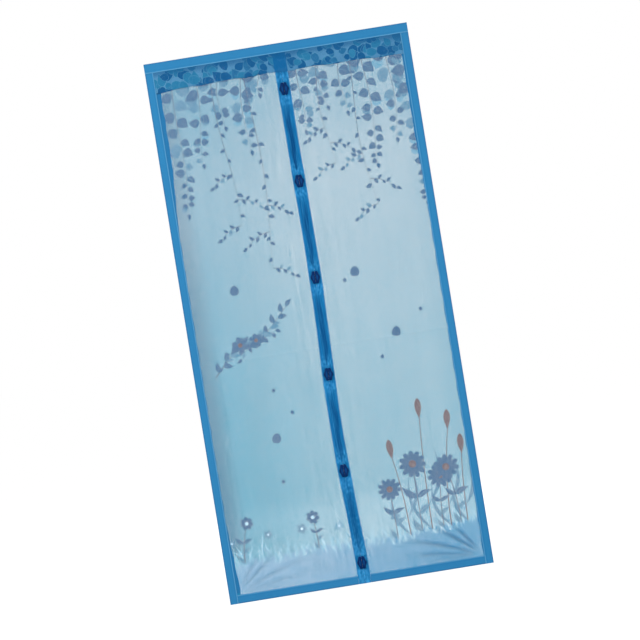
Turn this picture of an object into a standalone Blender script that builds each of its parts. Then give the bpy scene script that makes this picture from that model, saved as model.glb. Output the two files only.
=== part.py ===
# Magnetic insect screen for a doorway. Two mesh panels hang from one top border,
# and close on each other down the middle with butterfly buttons and magnet strips.
# Metres, +Z up. X runs across the doorway and the front faces -Y.
# The origin is the centre of the top loop tape's back face, where the screen is fixed.

import math

import bmesh
import bpy
from mathutils import Vector

for item in list(bpy.data.objects):
    bpy.data.objects.remove(item, do_unlink=True)

# Overall size and the bound borders
screen_width = 1.023
screen_height = 2.100
top_border_height = 0.035
side_border_width = 0.036
bottom_border_height = 0.028
fold_chamfer = 0.0003

# Cloth thicknesses, and the gap that every two layers keep
clearance = 0.0003
binding_thickness = 0.0006
mesh_thickness = 0.0004
ribbon_thickness = 0.0003

# Loop tape on the back of the borders, which meets the hook tape on the door frame
loop_tape_width = 0.020
loop_tape_thickness = 0.0015
loop_tape_inset = 0.008

# The back leaf of each side binding reaches past the front leaf, with a gathered edge
left_facing = (0.0125, 0.0035, 0.0080)
right_facing = (0.0065, 0.0020, 0.0020)
facing_top_end = 0.38
facing_bottom_start = 0.75
facing_ripple = 0.0009
facing_ripple_pitch = 0.100
facing_fine_pitch = 0.037
facing_rows = 44

# Header band: mesh folded double, hanging in front of the panels
header_drop = 0.109
header_corner_sag = 0.008
header_scallop = 0.0018
header_scallop_pitch = 0.170
header_ripple = 0.0022
header_columns = 24

# Centre hems, one round the inner edge of each panel
hem_reach = 0.0245
hem_narrowing = 0.0030
hem_sway = (0.0058, 0.0022, 0.0013, -0.0049, 0.0027)
lens_half_width = 0.0100
lap_start = 0.0275
lap_run = 0.0150

# Flexible magnet strips, face to face inside the hems
strip_width = 0.0080
strip_thickness = 0.0012
strip_end = 0.0650

# Butterfly buttons: a wing, a magnet and a back plate on each side of the opening
button_count = 6
first_button_drop = 0.177
last_button_rise = 0.081
end_gap_cut = 0.016
button_height = 0.049
button_width = 0.037
button_depth = 0.0055
button_lobe = 0.085
wing_arc_points = 13
wing_edge_points = 3
wing_centre = 0.0072
wing_crown = 0.74
wing_shoulder = 0.90
wing_side_share = 0.50
wing_shoulder_share = 0.85
recess_half_width = 0.0036
recess_half_height = 0.0105
recess_depth = 0.0008
recess_floor = 0.80
magnet_half_width = 0.0030
magnet_half_height = 0.0115
magnet_thickness = 0.0028
plate_half_width = 0.0065
plate_half_height = 0.0190
plate_thickness = 0.0012
plate_centre = 0.0085
plate_edge_share = 0.60
plate_face = 0.90

# Relief of the hanging mesh
panel_columns = 7
calm_margin = 0.020
rise_run = 0.120
fold_depth = 0.0042
fold_pitch = 0.235
fold_lean = 0.18
fold_fade = 0.45
crease_depth = 0.0060
crease_half_width = 0.075
low_crease_rise = 0.215
low_crease_slope = 0.62
high_crease_rise = 0.830
high_crease_slope = -0.35
high_crease_share = 0.6

# Layers counted from the mid-plane of the mesh
mesh_half = mesh_thickness / 2
side_face = mesh_half + clearance + binding_thickness
hem_face = mesh_half + clearance + ribbon_thickness
header_thickness = 2 * ribbon_thickness + clearance
header_back = hem_face + clearance
top_slot_front = header_back + header_thickness + clearance
top_slot_back = side_face + clearance
top_front = top_slot_front + binding_thickness
top_back = top_slot_back + binding_thickness
strip_room = strip_thickness + clearance
lap_depth = 2 * hem_face + clearance

# Places in the screen's own frame
mesh_plane = -(top_back + clearance + loop_tape_thickness)
half_width = screen_width / 2
top_z = top_border_height / 2
bottom_z = top_z - screen_height
border_low_z = top_z - top_border_height
bottom_border_z = bottom_z + bottom_border_height
first_button_z = top_z - first_button_drop
last_button_z = bottom_z + last_button_rise
inner_edge = half_width - side_border_width
lap_end = lap_start + lap_run


def smooth(value, low, high):
    part = min(max((value - low) / (high - low), 0.0), 1.0)
    return part * part * (3 - 2 * part)


# Heights of the buttons, from the top down. The first and last gaps are a little shorter.
def button_heights():
    gaps = button_count - 1
    pitch = (first_button_z - last_button_z + 2 * end_gap_cut) / gaps
    heights = [first_button_z]
    for gap in range(gaps):
        cut = end_gap_cut if gap in (0, gaps - 1) else 0.0
        heights.append(heights[-1] - pitch + cut)
    return heights


buttons = button_heights()


# How far the opening has wandered from the middle of the screen at a height
def centre_x(z):
    turn = math.pi * (top_z - z) / screen_height
    return sum(size * math.cos(order * turn) for order, size in enumerate(hem_sway))


def button_distance(z):
    return min(abs(z - height) for height in buttons)


def between_buttons(z):
    return buttons[-1] < z < buttons[0]


# From 0 beside a button to 1 where one hem lies over the other
def lap(z):
    return smooth(button_distance(z), lap_start, lap_end) if between_buttons(z) else 0.0


# From 0 beside a button to 1 where the hems hold their magnet strips
def strip_swell(z):
    return smooth(button_distance(z), lap_end, strip_end) if between_buttons(z) else 0.0


# Half the width of the spindle in which the two hems overlap
def lens(z):
    if not between_buttons(z) or button_distance(z) <= lap_end:
        return 0.0
    above = min(height for height in buttons if height >= z)
    below = max(height for height in buttons if height <= z)
    half_length = (above - below) / 2 - lap_end
    offset = abs(z - (above + below) / 2) / half_length
    return lens_half_width * math.sqrt(max(0.0, 1 - offset * offset))


# side is -1 for the left panel and 1 for the right one, which laps in front
def hem_inner(side, z):
    return centre_x(z) - side * lens(z) + side * clearance / 2


def hem_outer(side, z):
    return centre_x(z) + side * (hem_reach - hem_narrowing * lens(z) / lens_half_width)


# Mid-plane of the mesh inside each hem
def hem_plane(side, z):
    if side < 0:
        return mesh_plane
    return mesh_plane - lap(z) * lap_depth - strip_swell(z) * strip_room


# Slack folds and long creases in the free part of a panel, towards the front
def relief(side, x, z):
    from_border = inner_edge - side * x - calm_margin
    from_hem = side * (x - hem_outer(side, z))
    from_header = top_z - header_drop - header_corner_sag - z
    from_floor = z - bottom_border_z
    calm = smooth(from_border, 0.0, rise_run) * smooth(from_hem, 0.0, rise_run)
    calm *= smooth(from_header, 0.0, rise_run) * smooth(from_floor, 0.0, rise_run)
    rise = z - bottom_z
    share = rise / screen_height
    folds = math.sin(2 * math.pi * (x + fold_lean * side * share) / fold_pitch)
    folds *= 1 - fold_fade + fold_fade * math.sin(2 * math.pi * share)
    out = abs(x) - half_width / 2
    low_crease = rise - low_crease_rise - low_crease_slope * out
    high_crease = rise - high_crease_rise - high_crease_slope * out
    creases = math.exp(-(low_crease / crease_half_width) ** 2)
    creases += high_crease_share * math.exp(-(high_crease / crease_half_width) ** 2)
    return -calm * (fold_depth * folds + crease_depth * creases)


# Rows shared by the panels, hems and strips, so that their layers stay parallel
def shared_rows():
    rows = [top_z - binding_thickness - clearance, border_low_z]
    rows += [top_z - header_drop - header_corner_sag, bottom_border_z]
    rows += [bottom_z + binding_thickness + clearance]
    rows += buttons + [buttons[0] + lap_start, buttons[-1] - lap_start]
    for above, below in zip(buttons, buttons[1:]):
        middle = (above + below) / 2
        run = above - strip_end - middle
        rows.append(middle)
        for away in (above - lap_start, above - lap_end, above - strip_end, middle + run / 2):
            rows += [away, 2 * middle - away]
    return sorted(rows, reverse=True)


rows = shared_rows()


def finish_mesh(name, vertices, faces):
    mesh = bpy.data.meshes.new(name)
    mesh.from_pydata([tuple(vertex) for vertex in vertices], [], faces)
    work = bmesh.new()
    work.from_mesh(mesh)
    bmesh.ops.recalc_face_normals(work, faces=work.faces)
    work.to_mesh(mesh)
    work.free()
    mesh.shade_smooth()
    mesh.set_sharp_from_angle(angle=math.radians(35))
    return mesh


# A closed solid through rings of points. Every layer gets the same diagonal, so that thin
# sheets keep their thickness where the rings are not flat to each other.
def loft_mesh(name, rings):
    count = len(rings[0])
    vertices = [point for ring in rings for point in ring]
    faces = []
    for row in range(len(rings) - 1):
        for column in range(count):
            after = (column + 1) % count
            start = row * count + column
            end = row * count + after
            step = rings[row][after] - rings[row][column]
            if step.x + step.z >= 0:
                faces += [(start, end, end + count), (start, end + count, start + count)]
            else:
                faces += [(start, end, start + count), (end, end + count, start + count)]
    faces.append(tuple(reversed(range(count))))
    faces.append(tuple(range((len(rings) - 1) * count, len(rings) * count)))
    return finish_mesh(name, vertices, faces)


def add_object(name, mesh, material, location=(0, 0, 0), tilt=0.0):
    if not mesh.materials:
        mesh.materials.append(material)
    item = bpy.data.objects.new(name, mesh)
    item.location = location
    item.rotation_euler = (0, tilt, 0)
    bpy.context.scene.collection.objects.link(item)
    return item


def make_material(name, colour, roughness, metallic=0.0):
    material = bpy.data.materials.new(name)
    material.use_nodes = True
    shader = material.node_tree.nodes["Principled BSDF"]
    shader.inputs["Base Color"].default_value = (*colour, 1.0)
    shader.inputs["Roughness"].default_value = roughness
    shader.inputs["Metallic"].default_value = metallic
    material.diffuse_color = (*colour, 1.0)
    return material


materials = {
    "binding": make_material("binding", (0.030, 0.235, 0.500), 0.80),
    "mesh": make_material("mesh", (0.330, 0.560, 0.680), 0.85),
    "header": make_material("header", (0.045, 0.200, 0.380), 0.85),
    "ribbon": make_material("ribbon", (0.018, 0.160, 0.400), 0.70),
    "button": make_material("button", (0.004, 0.014, 0.090), 0.30),
    "magnet": make_material("magnet", (0.060, 0.060, 0.065), 0.55, 0.6),
    "strip": make_material("strip", (0.020, 0.022, 0.028), 0.75),
    "loop_tape": make_material("loop_tape", (0.025, 0.180, 0.400), 0.95),
}


# Cross-section of a binding folded round an edge, as (distance from the fold, depth) pairs.
# front and back are its outer faces, each reach the length of that leaf.
def binding_section(front, back, front_reach, back_reach, thickness, chamfer):
    return [
        (front_reach, front), (chamfer, front), (0.0, front + chamfer),
        (0.0, back - chamfer), (chamfer, back), (back_reach, back),
        (back_reach, back - thickness), (thickness, back - thickness),
        (thickness, front + thickness), (front_reach, front + thickness),
    ]


# How far a back leaf reaches past its front leaf. lengths are at the top, middle and bottom.
def facing_reach(lengths, z):
    down = (top_z - z) / screen_height
    top, middle, bottom = lengths
    base = middle + (top - middle) * (1 - smooth(down, 0.0, facing_top_end))
    base += (bottom - middle) * smooth(down, facing_bottom_start, 1.0)
    ripple = math.sin(2 * math.pi * (top_z - z) / facing_ripple_pitch)
    ripple += math.sin(2 * math.pi * (top_z - z) / facing_fine_pitch) / 2
    return base + facing_ripple * ripple


def build_side_border(name, side, lengths):
    start = top_z - binding_thickness - clearance
    rings = []
    for row in range(facing_rows + 1):
        z = start + (bottom_z - start) * row / facing_rows
        section = binding_section(
            -side_face, side_face, side_border_width,
            side_border_width + facing_reach(lengths, z), binding_thickness, fold_chamfer)
        ring = [Vector((side * (half_width - away), mesh_plane + deep, z)) for away, deep in section]
        rings.append(ring)
    add_object(name, loft_mesh(name, rings), materials["binding"])


def build_top_border():
    section = binding_section(
        -top_front, top_back, top_border_height, top_border_height, binding_thickness, fold_chamfer)
    rings = []
    for x in (-half_width, half_width):
        rings.append([Vector((x, mesh_plane + deep, top_z - away)) for away, deep in section])
    add_object("border_top", loft_mesh("border_top", rings), materials["binding"])


# Each half of the bottom border runs from the side binding to the centre hem
def build_bottom_border(name, side):
    section = binding_section(
        -side_face, side_face, bottom_border_height, bottom_border_height, binding_thickness,
        fold_chamfer)
    hem_rows = [z for z in rows if z <= bottom_border_z] + [bottom_z]
    hem_edge = max(side * hem_outer(side, z) for z in hem_rows) + clearance
    facing = max(facing_reach(left_facing if side < 0 else right_facing, bottom_z + rise)
                 for rise in (0.0, bottom_border_height / 2, bottom_border_height))
    outer = inner_edge - facing - facing_ripple - clearance
    rings = []
    for x in (side * outer, side * hem_edge):
        rings.append([Vector((x, mesh_plane + deep, bottom_z + away)) for away, deep in section])
    add_object(name, loft_mesh(name, rings), materials["binding"])


# Columns of one panel at a height, from the side binding to the fold of the centre hem
def panel_columns_at(side, z):
    fold = half_width - binding_thickness - clearance
    calm_x = side * (inner_edge - calm_margin)
    hem_edge = hem_outer(side, z)
    columns = [side * fold, side * inner_edge]
    for step in range(panel_columns + 1):
        columns.append(calm_x + (hem_edge - calm_x) * step / panel_columns)
    columns.append(hem_inner(side, z) + side * (ribbon_thickness + clearance))
    return columns


def build_panel(name, side):
    rings = []
    for z in rows:
        front = []
        back = []
        for x in panel_columns_at(side, z):
            near_hem = 1 - smooth(abs(x - centre_x(z)) - hem_reach, 0.0, rise_run)
            y = mesh_plane + (hem_plane(side, z) - mesh_plane) * near_hem + relief(side, x, z)
            front.append(Vector((x, y - mesh_half, z)))
            back.append(Vector((x, y + mesh_half, z)))
        rings.append(front + back[::-1])
    add_object(name, loft_mesh(name, rings), materials["mesh"])


def build_header():
    rings = []
    edge = inner_edge - clearance
    for column in range(header_columns + 1):
        x = -edge + 2 * edge * column / header_columns
        sag = header_corner_sag * abs(x / edge) ** 3
        sag += header_scallop * math.sin(2 * math.pi * x / header_scallop_pitch)
        ripple = header_ripple * (1 + math.sin(2 * math.pi * x / header_scallop_pitch + 1.3)) / 2
        low = top_z - header_drop - sag
        start = top_z - binding_thickness - clearance
        heights = ((start, 0.0), (border_low_z, 0.0), (low, ripple))
        inner_heights = ((low + ribbon_thickness, ripple), (border_low_z, 0.0), (start, 0.0))
        front = mesh_plane - header_back - header_thickness
        back = mesh_plane - header_back
        ring = [Vector((x, front - bulge, z)) for z, bulge in heights]
        ring += [Vector((x, back - bulge, z)) for z, bulge in reversed(heights)]
        ring += [Vector((x, back - ribbon_thickness - bulge, z)) for z, bulge in reversed(inner_heights)]
        ring += [Vector((x, front + ribbon_thickness - bulge, z)) for z, bulge in inner_heights]
        rings.append(ring)
    add_object("header_band", loft_mesh("header_band", rings), materials["header"])


def build_hem(name, side):
    rings = []
    for z in rows:
        outer = hem_outer(side, z)
        inner = hem_inner(side, z)
        plane = hem_plane(side, z)
        front = plane - hem_face - strip_swell(z) * strip_room
        back = plane + hem_face
        inside = inner + side * ribbon_thickness
        section = [
            (outer, front), (inner, front), (inner, back), (outer, back),
            (outer, back - ribbon_thickness), (inside, back - ribbon_thickness),
            (inside, front + ribbon_thickness), (outer, front + ribbon_thickness),
        ]
        rings.append([Vector((x, y, z)) for x, y in section])
    add_object(name, loft_mesh(name, rings), materials["ribbon"])


def build_strip(name, side, above, below):
    strip_rows = [z for z in rows if below + strip_end - 1e-6 <= z <= above - strip_end + 1e-6]
    rings = []
    for z in strip_rows:
        back = hem_plane(side, z) - mesh_half - clearance
        front = back - strip_thickness
        left = centre_x(z) - strip_width / 2
        right = centre_x(z) + strip_width / 2
        rings.append([Vector((left, front, z)), Vector((right, front, z)),
                      Vector((right, back, z)), Vector((left, back, z))])
    add_object(name, loft_mesh(name, rings), materials["strip"])


# Outline of one wing: three lobes round an arc, closed by the straight edge at the opening
def wing_outline(side):
    edge = clearance / 2
    arc = []
    for step in range(wing_arc_points):
        angle = math.radians(-90 + 180 * step / (wing_arc_points - 1))
        swell = 1 + button_lobe * math.cos(6 * angle)
        arc.append((swell * math.cos(angle), swell * math.sin(angle)))
    reach = button_width / 2 / max(across for across, up in arc)
    rise = button_height / 2 / max(up for across, up in arc)
    points = [(max(edge, reach * across), rise * up) for across, up in arc]
    top = points[-1][1]
    for step in range(1, wing_edge_points + 1):
        points.append((edge, top - 2 * top * step / (wing_edge_points + 1)))
    return [(side * across, up) for across, up in points]


# An ellipse with one point in the direction of each point of the outline
def ellipse_like(outline, centre, half_across, half_up):
    points = []
    for across, up in outline:
        angle = math.atan2(up / half_up, (across - centre) / half_across)
        points.append((centre + half_across * math.cos(angle), half_up * math.sin(angle)))
    return points


def shrink(outline, centre, share):
    return [(centre + (across - centre) * share, up * share) for across, up in outline]


def ring_at(points, y):
    return [Vector((across, y, up)) for across, up in points]


# A wing, open at the back where its magnet lies, with an oval recess in front
def wing_mesh(side):
    centre = side * wing_centre
    outline = wing_outline(side)
    back = -clearance
    front = back - button_depth
    pocket = ellipse_like(
        outline, centre, magnet_half_width + clearance, magnet_half_height + clearance)
    recess = ellipse_like(outline, centre, recess_half_width, recess_half_height)
    crown = shrink(outline, centre, wing_crown)
    return loft_mesh("wing", [
        ring_at(pocket, back - magnet_thickness - clearance),
        ring_at(pocket, back),
        ring_at(outline, back),
        ring_at(outline, back - wing_side_share * button_depth),
        ring_at(shrink(outline, centre, wing_shoulder), back - wing_shoulder_share * button_depth),
        ring_at(crown, front),
        ring_at(recess, front),
        ring_at(shrink(recess, centre, recess_floor), front + recess_depth),
    ])


def magnet_mesh(side):
    centre = side * wing_centre
    points = ellipse_like(wing_outline(side), centre, magnet_half_width, magnet_half_height)
    back = -clearance
    return loft_mesh("magnet", [ring_at(points, back), ring_at(points, back - magnet_thickness)])


def plate_mesh(side):
    centre = side * plate_centre
    points = ellipse_like(wing_outline(side), centre, plate_half_width, plate_half_height)
    front = 2 * hem_face + clearance
    return loft_mesh("back_plate", [
        ring_at(points, front),
        ring_at(points, front + plate_edge_share * plate_thickness),
        ring_at(shrink(points, centre, plate_face), front + plate_thickness),
    ])


def build_buttons():
    step = button_height / 2
    for side, word in ((-1, "left"), (1, "right")):
        wing = wing_mesh(side)
        magnet = magnet_mesh(side)
        plate = plate_mesh(side)
        for number, z in enumerate(buttons, 1):
            tilt = math.atan2(centre_x(z + step) - centre_x(z - step), 2 * step)
            place = (centre_x(z), mesh_plane - hem_face, z)
            add_object(f"button_{number}_wing_{word}", wing, materials["button"], place, tilt)
            add_object(f"button_{number}_magnet_{word}", magnet, materials["magnet"], place, tilt)
            add_object(f"button_{number}_plate_{word}", plate, materials["button"], place, tilt)


def build_tape(name, low, high):
    corners = [(low[0], low[1]), (high[0], low[1]), (high[0], high[1]), (low[0], high[1])]
    rings = [[Vector((x, y, z)) for x, y in corners] for z in (high[2], low[2])]
    add_object(name, loft_mesh(name, rings), materials["loop_tape"])


def build_loop_tapes():
    reach = half_width - loop_tape_inset
    front = mesh_plane + top_back + clearance
    build_tape("loop_tape_top", (-reach, front, -loop_tape_width / 2), (reach, 0.0, loop_tape_width / 2))
    front = mesh_plane + side_face + clearance
    back = front + loop_tape_thickness
    low = bottom_z + loop_tape_inset
    high = border_low_z - clearance
    for side, word in ((-1, "left"), (1, "right")):
        ends = sorted((side * reach, side * (reach - loop_tape_width)))
        build_tape(f"loop_tape_{word}", (ends[0], front, low), (ends[1], back, high))


build_top_border()
build_side_border("border_left", -1, left_facing)
build_side_border("border_right", 1, right_facing)
build_bottom_border("border_bottom_left", -1)
build_bottom_border("border_bottom_right", 1)
build_panel("mesh_panel_left", -1)
build_panel("mesh_panel_right", 1)
build_header()
build_hem("centre_hem_left", -1)
build_hem("centre_hem_right", 1)
for number, (above, below) in enumerate(zip(buttons, buttons[1:]), 1):
    build_strip(f"magnet_strip_{number}_left", -1, above, below)
    build_strip(f"magnet_strip_{number}_right", 1, above, below)
build_buttons()
build_loop_tapes()
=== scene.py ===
import math
import random

import bpy
from mathutils import Matrix, Vector, geometry, noise


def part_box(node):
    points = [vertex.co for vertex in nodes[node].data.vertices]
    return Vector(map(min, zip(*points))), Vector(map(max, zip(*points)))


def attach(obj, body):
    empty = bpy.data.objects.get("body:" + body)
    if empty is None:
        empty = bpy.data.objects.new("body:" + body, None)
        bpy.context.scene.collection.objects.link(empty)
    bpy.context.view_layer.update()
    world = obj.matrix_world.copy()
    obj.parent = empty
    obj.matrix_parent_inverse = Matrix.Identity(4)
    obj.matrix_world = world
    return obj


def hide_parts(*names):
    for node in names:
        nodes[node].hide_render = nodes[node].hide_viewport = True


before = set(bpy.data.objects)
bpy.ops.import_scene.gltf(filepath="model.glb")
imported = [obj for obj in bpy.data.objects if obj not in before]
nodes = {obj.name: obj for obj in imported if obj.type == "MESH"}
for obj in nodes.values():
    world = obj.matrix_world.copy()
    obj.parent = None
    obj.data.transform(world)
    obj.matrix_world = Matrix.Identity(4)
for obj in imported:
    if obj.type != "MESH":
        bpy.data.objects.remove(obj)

scene = bpy.context.scene
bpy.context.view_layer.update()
turn = 2 * math.pi
bothSides = ((-1, "left"), (1, "right"))

# All lengths are metres. x runs across the screen, z up, and the front looks along -y.
screen = {
    "width": 1.023,
    "height": 2.100,
    "topZ": 0.0175,
    "meshY": -0.0038,          # plane that the net hangs in
    "topTape": 0.0376,         # visible heights and widths of the edge tapes
    "sideTape": 0.0315,
    "footTape": 0.033,
    "foldGap": 0.0009,         # net and header stop this far inside a folded edge
    "headerDrop": 0.111,
    "headerSag": 0.008,
    "ribbon": 0.0003,
    "gap": 0.0003,
}
halfWidth = screen["width"] / 2
topZ = screen["topZ"]
bottomZ = topZ - screen["height"]
meshY = screen["meshY"]
innerX = halfWidth - screen["sideTape"]
tapeLowZ = topZ - screen["topTape"]
footZ = bottomZ + screen["footTape"]

closure = {
    "count": 6,
    "firstDrop": 0.177,
    "lastRise": 0.081,
    "endCut": 0.016,           # the first and last gaps are shorter
    "sway": (0.0058, 0.0022, 0.0013, -0.0049, 0.0027),
    "reach": 0.0245,           # half width of the ribbon
    "narrowing": 0.0012,
    "lens": 0.010,             # half width of the overlap between two buttons
    "face": 0.0008,
    "lapStart": 0.0275,
    "lapEnd": 0.0425,
    "lapDepth": 0.0019,
    "stripEnd": 0.065,
    "stripRoom": 0.0015,
}


def smooth(value, low, high):
    share = min(max((value - low) / (high - low), 0.0), 1.0)
    return share * share * (3 - 2 * share)


def noiseAt(x, y, z):
    return noise.noise(Vector((x, y, z)))


def linked(name, data):
    item = bpy.data.objects.new(name, data)
    scene.collection.objects.link(item)
    return item


def buttonHeights():
    first = topZ - closure["firstDrop"]
    last = bottomZ + closure["lastRise"]
    gaps = closure["count"] - 1
    step = (first - last + 2 * closure["endCut"]) / gaps
    heights = [first, first - step + closure["endCut"]]
    while len(heights) < gaps:
        heights.append(heights[-1] - step)
    heights.append(last)
    return heights


buttonZ = buttonHeights()


def centreX(z):
    down = (topZ - z) / screen["height"]
    return sum(size * math.cos(k * math.pi * down) for k, size in enumerate(closure["sway"]))


def buttonDistance(z):
    return min(abs(z - height) for height in buttonZ)


def isBetween(z):
    return buttonZ[-1] < z < buttonZ[0]


def lapAt(z):
    return smooth(buttonDistance(z), closure["lapStart"], closure["lapEnd"]) if isBetween(z) else 0.0


def swellAt(z):
    return smooth(buttonDistance(z), closure["lapEnd"], closure["stripEnd"]) if isBetween(z) else 0.0


def lensAt(z):
    if not isBetween(z) or buttonDistance(z) <= closure["lapEnd"]:
        return 0.0
    for above, below in zip(buttonZ, buttonZ[1:]):
        if below <= z <= above:
            half = (above - below) / 2 - closure["lapEnd"]
            away = abs(z - (above + below) / 2) / half
            return closure["lens"] * math.sqrt(max(1 - away * away, 0.0))
    return 0.0


def hemInner(side, z):
    return centreX(z) - side * lensAt(z) + side * screen["gap"] / 2


def hemOuter(side, z):
    return centreX(z) + side * (closure["reach"] - closure["narrowing"] * lensAt(z) / closure["lens"])


def hemPlane(side, z):
    if side < 0:
        return meshY
    return meshY - lapAt(z) * closure["lapDepth"] - swellAt(z) * closure["stripRoom"]


drape = {
    "calm": 0.020,
    "run": 0.120,
    "fold": 0.0042,
    "foldPitch": 0.235,
    "lean": 0.18,
    "fade": 0.45,
    "crease": 0.0060,
    "creaseHalf": 0.075,
    "lowCrease": (0.215, 0.62),
    "highCrease": (0.830, -0.35),
    "fine": 0.0016,            # small wrinkles that the solid model leaves out
    "fineScale": (16.0, 5.5),
    "fanDepth": 0.0050,        # folds that fan out from the lower outer corners
    "fans": (                  # angle above the foot tape, strength and length of each fold
        (1.00, 1.0, 0.20), (0.76, 1.0, 0.25), (0.47, 0.80, 0.36), (0.27, 0.60, 0.38), (0.13, 0.35, 0.30)),
    "leftFans": 0.62,
}


def cornerFolds(side, x, z):
    out = innerX - side * x
    up = z - footZ
    reach = math.hypot(out, up)
    if out <= 0 or up <= 0 or reach > 0.40:
        return 0.0
    angle = math.atan2(up, out) + 0.40 * reach
    wide = min(0.0030 + 0.034 * reach, 0.0090)
    total = 0.0
    for way, strength, length in drape["fans"]:
        away = reach * math.sin(angle - way)
        ease = smooth(reach, 0.024, 0.075) * (1 - smooth(reach, length * 0.5, length))
        ease *= smooth(up, 0.0, 0.010)
        total += strength * ease * math.exp(-(away / wide) ** 2)
    return total * (1.0 if side > 0 else drape["leftFans"])


def reliefAt(side, x, z):
    fromTape = innerX - side * x - drape["calm"]
    fromHem = side * (x - hemOuter(side, z))
    fromHeader = topZ - screen["headerDrop"] - screen["headerSag"] - z
    fromFloor = z - footZ
    calm = 1.0
    for away in (fromTape, fromHem, fromHeader, fromFloor):
        calm *= smooth(away, 0.0, drape["run"])
    rise = z - bottomZ
    share = rise / screen["height"]
    folds = math.sin(turn * (x + drape["lean"] * side * share) / drape["foldPitch"])
    folds *= 1 - drape["fade"] + drape["fade"] * math.sin(turn * share)
    out = abs(x) - halfWidth / 2
    low = rise - drape["lowCrease"][0] - drape["lowCrease"][1] * out
    high = rise - drape["highCrease"][0] - drape["highCrease"][1] * out
    creases = math.exp(-(low / drape["creaseHalf"]) ** 2)
    creases += 0.6 * math.exp(-(high / drape["creaseHalf"]) ** 2)
    wide, tall = drape["fineScale"]
    ease = min(smooth(away, 0, 0.03) for away in (fromTape + drape["calm"], fromHem, fromHeader, fromFloor))
    fine = noiseAt(x * wide, side * 3.1, z * tall)
    fine += 0.6 * noiseAt(x * 2.3 * wide, 7.0, z * 2.1 * tall + x * 9)
    broad = -calm * (drape["fold"] * folds + drape["crease"] * creases)
    return broad + drape["fine"] * ease * fine - drape["fanDepth"] * cornerFolds(side, x, z)


def panelY(side, x, z):
    nearHem = 1 - smooth(abs(x - centreX(z)) - closure["reach"], 0.0, drape["run"])
    return meshY + (hemPlane(side, z) - meshY) * nearHem + reliefAt(side, x, z)


# Faces between equal rings of points, and one face on each end
def loftFaces(rings, size, start=0):
    faces = []
    for first in range(start, start + (rings - 1) * size, size):
        for k in range(size):
            after = (k + 1) % size
            faces.append((first + k, first + after, first + size + after, first + size + k))
    faces.append(tuple(start + k for k in reversed(range(size))))
    faces.append(tuple(start + (rings - 1) * size + k for k in range(size)))
    return faces


def makeMesh(name, vertices, faces, materials, slots=None, sharpAt=None, **tones):
    mesh = bpy.data.meshes.new(name)
    mesh.from_pydata(vertices, [], faces)
    for material in materials:
        mesh.materials.append(material)
    if slots:
        mesh.polygons.foreach_set("material_index", slots)
    for label, values in tones.items():
        mesh.attributes.new(label, "FLOAT", "POINT").data.foreach_set("value", values)
    mesh.shade_smooth()
    if sharpAt:
        mesh.set_sharp_from_angle(angle=math.radians(sharpAt))
    return mesh


# Every piece rides on the fixed body. The node is the solid that it replaces.
def addPiece(name, mesh, node=None, place=None):
    piece = linked(name, mesh)
    if place:
        piece.matrix_world = place
    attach(piece, "root")
    if node:
        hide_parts(node)
    return piece


# Camera, lights and floor
studio = {
    "roll": 9.18,              # the screen leans by this many degrees in the picture
    "distance": 10.0,
    "frameWidth": 2.4556,
    "aim": (0.0014, -0.0038, -1.0575),
    "worldLight": 0.74,
    "key": (138.0, (-3.5, -3.7, 0.1), 2.2),     # watts, place, size
    "fill": (95.0, (3.9, -4.0, 0.0), 2.0),
    "back": (110.0, (1.2, 4.6, 0.5), 2.6),
    "lampAim": (0, 0, -1.45),
    "floorDrop": 0.030,
    "floorReach": 90.0,
    "floorShade": 0.30,        # the part of the floor's white that takes shadows
}


def aimMatrix(place, target, up):
    forward = (Vector(target) - Vector(place)).normalized()
    right = forward.cross(Vector(up)).normalized()
    above = right.cross(forward)
    matrix = Matrix((right, above, -forward)).transposed().to_4x4()
    matrix.translation = Vector(place)
    return matrix


def buildCamera():
    lens = bpy.data.cameras.new("photoLens")
    lens.sensor_width = 36
    lens.lens = 36 * studio["distance"] / studio["frameWidth"]
    lens.clip_end = 200
    camera = linked("photoCamera", lens)
    target = studio["aim"]
    place = (target[0], target[1] - studio["distance"], target[2])
    roll = math.radians(studio["roll"])
    camera.matrix_world = aimMatrix(place, target, (math.sin(roll), 0, math.cos(roll)))
    scene.camera = camera


def buildLights():
    for name in ("key", "fill", "back"):
        watts, place, size = studio[name]
        light = bpy.data.lights.new(name + "Light", "AREA")
        light.energy = watts
        light.size = size
        lamp = linked(name + "Lamp", light)
        lamp.matrix_world = aimMatrix(place, studio["lampAim"], (0, 0, 1))
    world = bpy.data.worlds.new("studioWorld")
    scene.world = world
    world.use_nodes = True
    tree = world.node_tree
    tree.nodes.clear()
    seen = raysOf(tree, "Camera", "Glossy", "Transmission")
    glow = seen * (1 - studio["worldLight"]) + studio["worldLight"]
    white = addNode(tree, "Background", {"Color": (1, 1, 1), "Strength": glow})
    addNode(tree, "OutputWorld", {"Surface": white}, None)


def buildFloor():
    z = bottomZ - studio["floorDrop"]
    far = studio["floorReach"]
    corners = [(-far, -far, z), (far, -far, z), (far, far, z), (-far, far, z)]
    mesh = bpy.data.meshes.new("studioFloor")
    mesh.from_pydata(corners, [], [(0, 1, 2, 3)])
    floor = linked("studioFloor", mesh)
    material = bpy.data.materials.new("paleFloor")
    material.use_nodes = True
    tree = material.node_tree
    tree.nodes.clear()
    shade = studio["floorShade"]
    paper = addNode(tree, "BsdfDiffuse", {"Color": (shade, shade, shade)})
    strength = raysOf(tree, "Camera", "Glossy") * (1 - shade * studio["worldLight"])
    glow = addNode(tree, "Emission", {"Strength": strength})
    both = addNode(tree, "AddShader", {0: paper, 1: glow})
    # Seen from below the floor is clear, so it doesn't hide the screen
    fromBelow = addNode(tree, "NewGeometry", output="Backfacing")
    choice = addNode(tree, "MixShader", {0: fromBelow, 1: both, 2: addNode(tree, "BsdfTransparent")})
    addNode(tree, "OutputMaterial", {"Surface": choice}, None)
    mesh.materials.append(material)


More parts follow.
